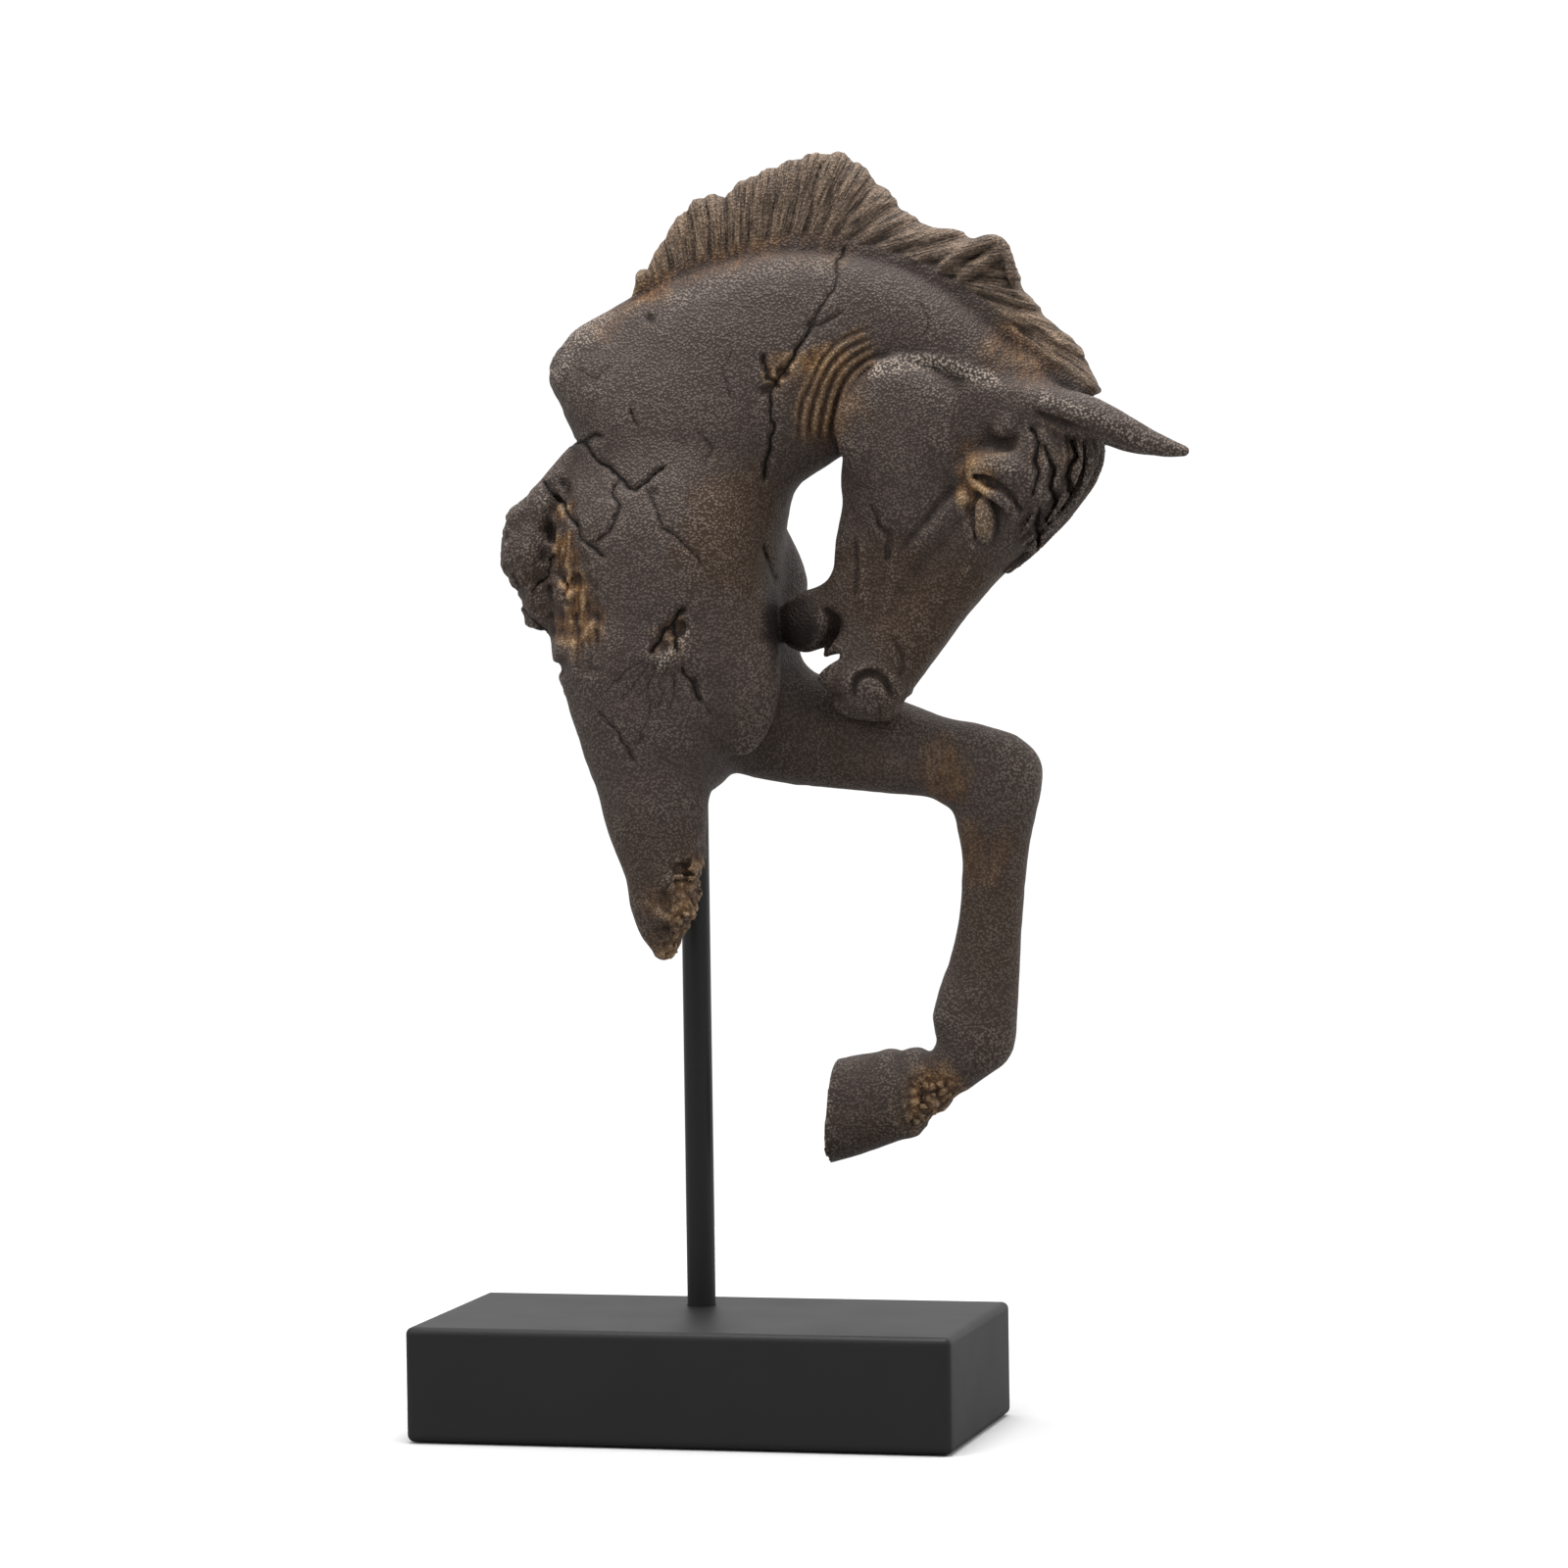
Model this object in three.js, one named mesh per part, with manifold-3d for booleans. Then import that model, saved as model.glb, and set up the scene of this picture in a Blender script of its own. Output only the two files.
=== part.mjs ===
// Horse sculpture: a weathered horse fragment cast in one piece, held up by a rod on a block.
// Millimetres, +Z up, +X along the long side of the block, origin under the middle of the block.
import * as THREE from "three";
import { RoundedBoxGeometry } from "three/addons/geometries/RoundedBoxGeometry.js";
import { mergeVertices } from "three/addons/utils/BufferGeometryUtils.js";
import Module from "manifold-3d";

// Block, rod and the clearance between touching pieces
const BLOCK = { length: 232, depth: 118, height: 48, edge: 3, steps: 2 };
const ROD = { radius: 6, x: -11.5, y: 29, bottom: 28, top: 311, sides: 48 };
const CLEARANCE = 0.3;

// The horse is drawn by its outline as seen from this eye, on the upright plane through the rod
const EYE = { x: 632.8, y: -2376.2, z: 374.4 };
const DRAWING_Y = ROD.y;

// Depths of the horse's parts: near side is -Y
const MIDDLE = 20;
const STUB_Y = -4;
const RAISED_Y = 44;
const NEAR_EAR_Y = 6;
const FAR_EAR_Y = 30;

// Fineness of the surface and the number of facets the horse is brought down to
const GRID = 2.3;
const HORSE_FACETS = 8700;

// Smooth joins between forms, wider for softer ones
const JOIN = {
  neck: 14, shoulder: 14, breast: 9, limb: 10, hoof: 2.5, head: 3, face: 8, jowl: 4, nose: 5, jaw: 6, chin: 4,
  mouth: 1.6, ear: 5, hollow: 1, strand: 1.5, rolled: 1.2, mane: 2,
};

// Sections of each form: outline point, opposite outline point, half width, and depth if it differs
const TORSO = [
  [-54, 292, 8, 287, 26], [-66, 312, 24, 300, 33], [-73, 336, 27, 330, 38], [-77, 362, 27, 356, 40],
  [-75, 384, 28, 376, 40], [-64, 403, 27, 392, 36], [-54, 422, 22, 410, 30],
];
const NECK = [
  [-52, 408, 18, 368, 30], [-71, 442, 27, 386, 33], [-62, 461, 34, 394, 31.5], [-46, 470, 41, 399, 30],
  [-26, 481, 49, 404, 28.5],
  [0, 491, 58, 410, 26], [28, 497, 68, 420, 23], [58, 495.5, 79, 430, 20.5], [88, 487, 93, 430, 19.5],
  [115, 470, 106, 424, 19], [138, 448, 118, 414, 18.5], [154, 432, 132, 404, 17],
];
const SLAB = [
  [-62, 413, -50, 405, 19], [-73, 400, -56, 390, 25], [-88, 385, -62, 376, 28], [-91, 369, -64, 362, 29],
  [-87, 354, -62, 350, 27], [-80, 341, -60, 338, 23],
];
const STUB = [
  [-71, 323, 2, 318, 22], [-64, 299, -1, 290, 22], [-58.5, 281, -6, 277, 20.5], [-53, 266, -6, 263, 19.5],
  [-49, 250, -7.5, 247, 18], [-42, 232, -8, 232, 16], [-39.5, 218, -9, 219, 14], [-36, 207, -12, 211, 11],
  [-30.5, 199, -19, 202, 7],
];
const RAISED_LEG = [
  [-2, 336, 5, 284, 18, 36], [16, 332, 12, 274, 21, 40], [38, 318, 32, 269.5, 20, 43],
  [60, 311, 54, 267.5, 18.5], [80, 304, 75, 265.5, 17], [97, 297.5, 90, 264, 15.5],
  [112, 294.5, 97, 261, 14.5], [128, 289.5, 100.5, 258, 14.3], [138, 279.5, 102, 254, 14.3],
  [138.5, 268, 102.7, 250, 13.6], [136, 257, 104, 245, 12.4], [133, 243, 105, 238, 11.4],
  [131, 227, 104.5, 227, 11], [129.5, 210, 102.5, 210, 11], [128.5, 196, 99, 196, 11.6],
  [127.5, 184, 94.5, 184, 12.6], [127, 172, 91.5, 173, 13.5], [125.8, 161, 92, 166, 13.6],
  [121.5, 152, 92.5, 160.5, 13], [112, 145.5, 87.5, 154, 12], [102, 138.5, 82.5, 151.5, 11.6],
  [92, 133.5, 79, 151.5, 12.4], [86, 126, 76, 153.5, 13.4],
];
const HOOF = [
  [90, 129, 77, 157, 13], [84, 122, 72, 158, 15.8], [74, 118.5, 65, 156, 17],
  [60, 113.5, 57.5, 155, 18], [46.5, 109.3, 49.8, 153.5, 19],
];
const CHEEK_PLATE = [
  [77, 304.5, 50, 307, 9], [81.5, 310, 43.5, 314, 12.5], [89, 319.5, 46, 324, 13.5], [98, 331, 52, 334, 14],
  [108, 343, 52, 347, 14.5], [118, 354, 51.5, 362, 15.5], [127, 363, 53, 374, 17], [135, 369, 55.5, 387, 18],
  [144, 378, 55.5, 402, 19], [153, 392, 62, 424, 20], [158, 405, 76, 442, 20], [156, 420, 96, 446, 19],
  [147, 431, 112, 442, 16],
];
const FOREHEAD = [
  [78, 304, 58, 312, 10], [90, 320, 68, 332, 12], [107, 342, 84, 356, 13.5], [120, 356.5, 98, 374, 17],
  [134, 369, 108, 392, 22], [147, 384, 119, 409, 24], [156.5, 400, 128, 422, 22], [155, 416, 134, 432, 17],
];
const NEAR_EAR = [
  [112, 440, 124, 418, 7], [130, 438.5, 138, 418.5, 8.5], [148, 434.5, 152, 415, 8.5],
  [165, 429.5, 167, 411.5, 7], [180, 420.5, 180.5, 407.3, 5.4], [192, 413.8, 191.5, 404.8, 4],
  [200.5, 409.3, 200.5, 404.6, 2.4],
];
const FAR_EAR = [
  [112, 440, 124, 418, 7], [130, 438.5, 138, 418.5, 8], [146, 434.5, 150, 415, 8],
  [162, 429, 164, 411.5, 6.5], [175, 421, 176, 407.3, 5], [186, 414.5, 185.5, 405.5, 3.8],
  [193, 411, 193, 405.8, 2.4],
];

// Mane: root on the crest of the neck and tip on the outline, from the withers to the poll
const MANE = [
  [-29, 480, -27, 488], [-20, 484, -21, 499], [-12, 487, -13.5, 509], [-5, 489.5, -5, 517],
  [1, 491, 0.5, 518], [7, 493, 7, 517.5], [14, 495, 14, 523], [22, 496, 23, 527], [31, 497, 34, 531],
  [40, 497, 46, 533.5], [48, 496.5, 56, 533.5], [56, 495.5, 65, 528], [63, 493.5, 74, 519],
  [71, 492, 83, 509], [79, 490, 93, 503], [88, 487, 105, 500.5], [97, 483, 114, 497],
  [105, 478, 123, 496.5], [112, 472, 128.5, 487], [120, 465, 134, 475], [129, 457, 143, 463.5],
  [139, 448, 153, 454], [148, 440, 160, 445], [155, 433, 164.5, 436],
];
const FIN_HALF = 10;

// Fan of the mane's strands: from the crest to beyond the edge
const FAN = [
  [-31, 478, -36, 486], [-27, 481, -31, 496], [-20, 484, -25, 505], [-12, 487, -17, 514],
  [-4, 490, -8, 520], [4, 492, 2, 523], [14, 495, 16, 528], [24, 497, 30, 534], [33, 498, 44, 537],
  [42, 498, 59, 534], [50, 497, 73, 523], [58, 496, 87, 512], [66, 494, 100, 505], [76, 491, 113, 500],
  [86, 488, 122, 497], [95, 484, 129, 488], [104, 479, 135, 477], [113, 472, 143, 467],
  [123, 463, 151, 458], [134, 453, 159, 448], [146, 442, 165, 438], [156, 432, 169, 431],
];
const LOCK = { width: 8, high: 2 };

// Lock that rolls over at the poll: readings and thickness
const ROLLED = [
  { thick: 3.2, path: [[97, 483], [104, 488.5], [113, 493.5], [121, 495.5], [126, 493]] },
  { thick: 3, path: [[104, 478], [112, 484], [120, 489], [125.5, 492]] },
];
const ROLLED_APART = 9.5;

// Forelock strands down the front of the head: readings, and how far each lies from the middle
const FORELOCK = [
  { off: 0, thick: 5, path: [[150, 430], [163, 414], [161, 397], [151, 383], [138, 369], [128, 360]] },
  { off: -9, thick: 4.6, path: [[147, 428], [160, 409], [155, 392], [145, 378], [132, 367]] },
  { off: 9, thick: 4.6, path: [[147, 428], [160, 409], [155, 392], [145, 378], [132, 367]] },
  { off: -17, thick: 4.2, path: [[141, 421], [151, 404], [146, 390], [137, 379], [128, 371]] },
  { off: 17, thick: 4.2, path: [[141, 421], [151, 404], [146, 390], [137, 379], [128, 371]] },
];

// Features of the face: readings, depth under the skin, thickness and width of the join
const FACE = {
  eye: { at: [116, 379], sink: 2.4, half: [4.8, 4.4, 11.8], tilt: 2, width: 1 },
  hollows: [
    { at: [117, 380], sink: -0.5, half: [9, 4.2, 15], tilt: 4, width: 4 },
    { at: [121, 411], sink: -0.5, half: [8, 3.4, 6.5], tilt: 30, width: 6 },
  ],
  jawEdge: {
    sink: -0.6, thick: [1.4, 2.2, 2.2, 1], width: 3,
    path: [[102, 392], [94.5, 383], [88, 375.5], [83, 370], [82, 360]],
  },
  ridges: [
    { sink: 0.9, thick: [2, 3, 1.8], width: 2, path: [[110, 396], [117, 391.5], [124, 387], [129.5, 380]] },
    { sink: 2.2, thick: [3, 4.8, 2.6], width: 5, path: [[108, 400], [119, 403], [129, 400], [140, 386]] },
    { sink: 2.4, thick: [2.6, 3.4, 2], width: 5, path: [[107, 389], [99, 381], [92, 374], [80, 358]] },
    { sink: 1.6, thick: [1.6, 2.2, 1.2], width: 3, path: [[64, 372], [64.5, 360], [64, 350], [66, 340]] },
    { sink: 1.4, thick: [1.8, 2.6, 1.8], width: 3, path: [[55, 307], [56.5, 315], [65, 319.5], [78, 308]] },
    { sink: 1.6, thick: [1.4, 2.2, 1.8], width: 3, path: [[50, 328], [48.8, 321], [47.5, 314], [50, 307]] },
  ],
  grooves: [
    { sink: 0.3, thick: [1.4, 2, 1.4], width: 1, path: [[58.5, 306], [59.5, 313], [65.5, 316], [74.8, 306]] },
    { sink: 0.6, thick: [1.4, 3, 3.2], width: 2, path: [[52.5, 341], [51, 335], [48.5, 331], [45.5, 328.5]] },
  ],
  nostrilBump: { sink: 1.6, thick: [2.2, 2.8, 2.2], path: [[62, 309.5], [67.6, 309], [72, 306]] },
};

// Through opening of the mouth and slit of the ear: readings and thickness
const MOUTH = { path: [[46.5, 325.5], [43, 320.5], [38, 317]], thick: [1.6, 2.8, 3.2] };
const EAR_SLIT = {
  before: 7,
  path: [[139, 424], [151, 417.5], [162, 413.5], [173, 411.5], [184, 409]],
  thick: [2, 3.4, 3.2, 2.4, 1.3],
};

// Cracks and wounds in the near side: readings, half width and depth
const CRACKS = [
  { wide: 3, deep: 2.6, path: [[57.4, 493.4], [54.7, 483], [52, 476.6], [48, 470.4], [42.7, 461.7]] },
  { wide: 3, deep: 3.2, path: [[42.7, 461.7], [37.4, 454.3], [32, 445.6], [26.8, 439.4]] },
  { wide: 3, deep: 3.2, path: [[26.8, 439.4], [24.7, 430.6], [25, 422]] },
  { wide: 3, deep: 3, path: [[-63, 416], [-57.4, 415], [-52.5, 408.5], [-46.6, 404.1], [-42.7, 399.3]] },
  { wide: 3, deep: 3, path: [[-42.7, 399.3], [-35.9, 393.9], [-29.9, 399], [-23.9, 404]] },
  { wide: 2.6, deep: 2.2, path: [[-43.2, 399.3], [-44.8, 391.7], [-44, 382.2], [-52.1, 372.2]] },
  { wide: 2.8, deep: 2.4, path: [[-74.6, 397], [-69.7, 392], [-64.8, 385.3], [-60, 376.6], [-50, 368]] },
  { wide: 3, deep: 3, path: [[-15.9, 343.5], [-20.9, 338], [-25, 331], [-29, 326.6]] },
  { wide: 2.6, deep: 2.4, path: [[-20.9, 338], [-18.1, 333.2], [-18.1, 327.5]] },
  { wide: 2.4, deep: 2.2, path: [[112, 284], [109, 274], [107, 263]] },
  { wide: 2.4, deep: 3, path: [[114, 236], [114, 228]] },
  { wide: 2.6, deep: 3, path: [[-74.5, 372], [-78, 363.5], [-85.3, 354]] },
];
const PITS = [
  { at: [-18, 336], wide: 4.5, deep: 3.2 },
  { at: [-24, 329], wide: 4, deep: 2.4 },
  { at: [-28, 466], wide: 4, deep: 1.6 },
  { at: [27, 446], wide: 5, deep: 2.2 },
];

// Places where the skin is gone and fibre shows: readings of their middle lines
const FIBROUS = {
  half: 11,
  deep: 1.6,
  fade: 4,
  paths: [[[-60.3, 358], [-61.6, 340], [-64, 324]], [[-71.6, 396], [-67, 366]]],
};

// Throat folds: rings about the cheek
const FOLDS = { at: [82, 418], from: 30, to: 48, apart: 9, high: 1.2, start: 106, end: 188 };

// Torn places: centre reading, depth, reach and height of the lumps
const TORN = [
  { at: [-84, 366], y: 18, reach: 40, high: 2.2 },
  { at: [-60, 345], y: -8, reach: 26, high: 1.6 },
  { at: [-14, 222], y: -4, reach: 26, high: 2.2 },
  { at: [88, 134], y: 44, reach: 20, high: 1.8 },
  { at: [-64, 436], y: 20, reach: 30, high: 1.4 },
];
const LUMP = 7;
const FADE = 12;

// How deep surface work may reach, and how far the near side reaches past the middle
const WORK_DEPTH = 9;
const NEAR_SIDE = { past: 4, fade: 8 };

const FINISH = {
  horse: { color: 0x3b312b, roughness: 0.75, metalness: 0.1 },
  rod: { color: 0x17181a, roughness: 0.45, metalness: 0.6 },
  base: { color: 0x1b1c1e, roughness: 0.6, metalness: 0 },
};

// Moves a reading from the drawing plane along the sight line to another depth
function atDepth(x, z, y) {
  const t = (y - EYE.y) / (DRAWING_Y - EYE.y);
  return [EYE.x + (x - EYE.x) * t, y, EYE.z + (z - EYE.z) * t];
}

// The reading on the drawing plane that a point is seen at
function reading(x, y, z) {
  const t = (DRAWING_Y - EYE.y) / (y - EYE.y);
  return [EYE.x + (x - EYE.x) * t, DRAWING_Y, EYE.z + (z - EYE.z) * t];
}

// A smooth curve through rows of numbers, with extra rows between each pair
function smooth(rows, per) {
  const out = [];
  for (let i = 0; i < rows.length - 1; i++) {
    const a = rows[Math.max(i - 1, 0)];
    const b = rows[i];
    const c = rows[i + 1];
    const d = rows[Math.min(i + 2, rows.length - 1)];
    for (let j = 0; j < per; j++) {
      const t = j / per;
      out.push(b.map((v, k) => {
        const bend = 2 * a[k] - 5 * v + 4 * c[k] - d[k];
        const twist = 3 * v - a[k] - 3 * c[k] + d[k];
        return v + 0.5 * t * (c[k] - a[k] + t * (bend + t * twist));
      }));
    }
  }
  out.push(rows[rows.length - 1]);
  return out;
}

// Smooth union and smooth cut of two distances
function join(a, b, k) {
  const h = Math.max(k - Math.abs(a - b), 0) / k;
  return Math.min(a, b) - h * h * k * 0.25;
}
function cut(a, b, k) {
  return -join(-a, b, k);
}
function soft(t) {
  const c = Math.min(Math.max(t, 0), 1);
  return c * c * (3 - 2 * c);
}

// Signed distance to a superellipse section
function sectionDistance(u, v, w, ru, rv, rw, boxy) {
  const a = Math.abs(u) / ru;
  const b = Math.abs(v) / rv;
  const c = Math.abs(w) / rw;
  const level = (a ** boxy + b ** boxy + c ** boxy) ** (1 / boxy);
  const steep = Math.hypot(a / ru, b / rv, c / rw);
  return Math.max((level * (level - 1)) / Math.max(steep, 1e-6), -Math.min(ru, rv));
}

// A limb: sections from one outline point to the other, swept along the row
const REACH = 26;
const FAR = 1000;
const ROWS_BETWEEN = 5;
function limb(rows, depth, { boxy = 2, cap = 1, flatEnd = false } = {}) {
  const s = smooth(rows.map(([xa, za, xb, zb, half, own = depth]) => {
    const a = atDepth(xa, za, own);
    const b = atDepth(xb, zb, own);
    return [a[0], a[2], b[0], b[2], own, half];
  }), ROWS_BETWEEN);
  const last = s.length - 1;
  const x0 = s.map((r) => (r[0] + r[2]) / 2);
  const z0 = s.map((r) => (r[1] + r[3]) / 2);
  const y0 = s.map((r) => r[4]);
  const wide = s.map((r) => r[5]);
  const long = s.map((r) => Math.hypot(r[0] - r[2], r[1] - r[3]) / 2);
  const nx = s.map((r, i) => (r[0] - r[2]) / 2 / long[i]);
  const nz = s.map((r, i) => (r[1] - r[3]) / 2 / long[i]);
  const way = s.map((r, i) => {
    const a = Math.max(i - 1, 0);
    const b = Math.min(i + 1, last);
    return Math.sign(-nz[i] * (x0[b] - x0[a]) + nx[i] * (z0[b] - z0[a]));
  });
  const tx = nz.map((v, i) => -v * way[i]);
  const tz = nx.map((v, i) => v * way[i]);
  const bound = s.map((r, i) => Math.max(long[i], wide[i]));
  const low = [x0, y0, z0].map((c) => Math.min(...c.map((v, i) => v - bound[i])));
  const high = [x0, y0, z0].map((c) => Math.max(...c.map((v, i) => v + bound[i])));
  const ends = [[0, -1, false], [last, 1, flatEnd]];
  return (x, y, z) => {
    const out = Math.max(low[0] - x, x - high[0], low[1] - y, y - high[1], low[2] - z, z - high[2]);
    if (out > REACH) return out;
    let level = Infinity;
    let best = FAR;
    let w0 = (x - x0[0]) * tx[0] + (z - z0[0]) * tz[0];
    for (let i = 0; i < last; i++) {
      const w1 = (x - x0[i + 1]) * tx[i + 1] + (z - z0[i + 1]) * tz[i + 1];
      if (w0 >= 0 && w1 <= 0) {
        const f = w0 / Math.max(w0 - w1, 1e-9);
        const g = 1 - f;
        const u0 = (x - x0[i]) * nx[i] + (z - z0[i]) * nz[i];
        const u1 = (x - x0[i + 1]) * nx[i + 1] + (z - z0[i + 1]) * nz[i + 1];
        const u = u0 * g + u1 * f;
        const v = y - y0[i] * g - y0[i + 1] * f;
        const ru = long[i] * g + long[i + 1] * f;
        const rv = wide[i] * g + wide[i + 1] * f;
        const k = (u / ru) ** 2 + (v / rv) ** 2;
        if (k < level) {
          level = k;
          best = sectionDistance(u, v, 0, ru, rv, 1, boxy);
        }
      }
      w0 = w1;
    }
    for (const [e, sign, flat] of ends) {
      const w = ((x - x0[e]) * tx[e] + (z - z0[e]) * tz[e]) * sign;
      const u = (x - x0[e]) * nx[e] + (z - z0[e]) * nz[e];
      const round = Math.min(long[e], wide[e]) * cap;
      if (w > 0) best = Math.min(best, sectionDistance(u, y - y0[e], w, long[e], wide[e], round, boxy));
      if (flat) best = Math.max(best, w);
    }
    return best;
  };
}

// An egg-shaped mass, tilted in the upright plane
function mass(centre, radii, tilt = 0) {
  const a = THREE.MathUtils.degToRad(tilt);
  const c = Math.cos(a);
  const s = Math.sin(a);
  return (x, y, z) => {
    const dx = x - centre[0];
    const dz = z - centre[2];
    const u = dx * c + dz * s;
    const w = -dx * s + dz * c;
    return sectionDistance(u, y - centre[1], w, radii[0], radii[1], radii[2], 2);
  };
}

// An upright round plate, with a rim as square as boxy says
function disc(centre, radius, half, boxy) {
  return (x, y, z) => {
    const out = Math.hypot(x - centre[0], z - centre[2]);
    return sectionDistance(out, y - centre[1], 0, radius, half, 1, boxy);
  };
}

// A round cord through points, with a radius at each
const CORD_MARGIN = 5;
const CORD_REACH = 8;
function cord(points, radii) {
  const low = [0, 1, 2].map((k) => Math.min(...points.map((p) => p[k])) - CORD_MARGIN);
  const high = [0, 1, 2].map((k) => Math.max(...points.map((p) => p[k])) + CORD_MARGIN);
  return (x, y, z) => {
    const out = Math.max(low[0] - x, x - high[0], low[1] - y, y - high[1], low[2] - z, z - high[2]);
    if (out > CORD_REACH) return out;
    let best = FAR;
    for (let i = 0; i < points.length - 1; i++) {
      const [ax, ay, az] = points[i];
      const ex = points[i + 1][0] - ax;
      const ey = points[i + 1][1] - ay;
      const ez = points[i + 1][2] - az;
      const along = ((x - ax) * ex + (y - ay) * ey + (z - az) * ez) / (ex * ex + ey * ey + ez * ez);
      const t = Math.min(Math.max(along, 0), 1);
      const r = radii[i] + (radii[i + 1] - radii[i]) * t;
      best = Math.min(best, Math.hypot(x - ax - ex * t, y - ay - ey * t, z - az - ez * t) - r);
    }
    return best;
  };
}

// Even lumps from a fixed scatter of values on a lattice
function scatter(i, j, k) {
  let h = Math.imul(i, 374761393) + Math.imul(j, 668265263) + Math.imul(k, 873357470);
  h = Math.imul(h ^ (h >>> 13), 1274126177);
  return ((h ^ (h >>> 16)) >>> 0) / 2 ** 31 - 1;
}
function lumps(x, y, z, size) {
  const p = [x / size, y / size, z / size];
  const [i, j, k] = p.map(Math.floor);
  const [u, v, w] = p.map((c) => {
    const f = c - Math.floor(c);
    return f * f * (3 - 2 * f);
  });
  let sum = 0;
  for (let n = 0; n < 8; n++) {
    const [a, b, c] = [n & 1, (n >> 1) & 1, n >> 2];
    sum += scatter(i + a, j + b, k + c) * (a ? u : 1 - u) * (b ? v : 1 - v) * (c ? w : 1 - w);
  }
  return sum;
}

// Bare body: torso, neck, legs, hoof and head
const folded = (y) => MIDDLE - Math.abs(y - MIDDLE);
const parts = {
  torso: limb(TORSO, MIDDLE, { boxy: 2.3 }),
  neck: limb(NECK, MIDDLE, { boxy: 2.1 }),
  slab: limb(SLAB, 18, { boxy: 2.8, cap: 0.5 }),
  stub: limb(STUB, STUB_Y, { boxy: 2.2 }),
  leg: limb(RAISED_LEG, RAISED_Y, { boxy: 2.2, cap: 0.6 }),
  hoof: limb(HOOF, RAISED_Y, { boxy: 2.4, flatEnd: true }),
  plate: limb(CHEEK_PLATE, MIDDLE, { boxy: 2.6 }),
  forehead: limb(FOREHEAD, MIDDLE, { boxy: 2.4, cap: 0.8 }),
  nearEar: limb(NEAR_EAR, NEAR_EAR_Y),
  farEar: limb(FAR_EAR, FAR_EAR_Y),
  shoulder: mass(atDepth(-26, 352, -6), [36, 20, 52], -6),
  breast: mass(atDepth(4, 322, 2), [21, 17, 40], 8),
  farBreast: mass(atDepth(9, 351, 46), [30, 22, 34], 4),
  jowl: disc(atDepth(81.5, 419, 7), 28, 13.5, 3.2),
  cheek: mass(atDepth(84, 396, 8), [21, 12, 27], 8),
  nostrilMass: mass(atDepth(66, 311, 10), [11, 6.5, 10]),
  chin: mass(atDepth(38.5, 337.5, MIDDLE), [12, 10.5, 12.5]),
  jaw: cord([atDepth(60, 352, MIDDLE), atDepth(52, 347, MIDDLE), atDepth(43, 341, MIDDLE)], [10, 9, 9]),
};
const readings = (path, depth) => path.map(([x, z]) => atDepth(x, z, depth));
const mouth = cord(readings(MOUTH.path, 0), MOUTH.thick);
function bareBody(x, y, z) {
  const side = folded(y);
  let d = join(parts.torso(x, y, z), parts.neck(x, y, z), JOIN.neck);
  d = join(d, parts.shoulder(x, side, z), JOIN.shoulder);
  d = join(d, parts.breast(x, side, z), JOIN.breast);
  d = join(d, parts.farBreast(x, y, z), JOIN.breast);
  d = join(d, parts.stub(x, y, z), JOIN.limb);
  d = join(d, parts.leg(x, y, z), JOIN.limb);
  d = join(d, parts.hoof(x, y, z), JOIN.hoof);
  return join(d, parts.slab(x, y, z), JOIN.hoof);
}
function bareHead(x, y, z) {
  const side = folded(y);
  let d = join(parts.plate(x, y, z), parts.forehead(x, y, z), JOIN.face);
  d = join(d, parts.cheek(x, side, z), JOIN.face);
  d = join(d, parts.jowl(x, side, z), JOIN.jowl);
  d = join(d, parts.nostrilMass(x, side, z), JOIN.nose);
  d = join(d, join(parts.chin(x, y, z), parts.jaw(x, y, z), JOIN.jaw), JOIN.chin);
  return cut(d, mouth(x, 0, z), JOIN.mouth);
}
function bare(x, y, z) {
  return join(bareBody(x, y, z), bareHead(x, y, z), JOIN.head);
}

// The point of the bare surface that a reading falls on, sunk along the view
const SIGHT = { from: -60, to: 100, near: 0.05, stride: 0.6 };
function onSkin(x, z, sink = 0) {
  let y = SIGHT.from;
  let d = bare(...atDepth(x, z, y));
  while (d > SIGHT.near) {
    y += Math.max(d * SIGHT.stride, SIGHT.near);
    if (y > SIGHT.to) throw new Error(`the reading ${x}, ${z} misses the horse`);
    d = bare(...atDepth(x, z, y));
  }
  return atDepth(x, z, y + sink);
}

// A cord whose thickness runs smoothly through a few radii
function taperedCord(rows, per, radii) {
  const points = smooth(rows, per);
  return cord(points, points.map((_, i) => {
    const t = (i / (points.length - 1)) * (radii.length - 1);
    const j = Math.min(Math.floor(t), radii.length - 2);
    return radii[j] + (radii[j + 1] - radii[j]) * (t - j);
  }));
}
const skinCord = (path, sink, radii) => taperedCord(path.map(([x, z]) => onSkin(x, z, sink)), 2, radii);

// Forms of the face, set into the skin at their readings
const FACE_REACH = 12;
const cordForm = ({ path, sink, thick, width }) => ({ shape: skinCord(path, sink, thick), width });
const lumpForm = ({ at: [x, z], sink, half, tilt, width }) => ({
  shape: mass(onSkin(x, z, sink), half, tilt),
  width,
});
const sunk = [...FACE.hollows.map(lumpForm), cordForm(FACE.jawEdge)];
const raised = [lumpForm(FACE.eye), ...FACE.ridges.map(cordForm)];
const grooves = FACE.grooves.map(cordForm);
const nostrilBump = cordForm(FACE.nostrilBump).shape;

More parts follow.
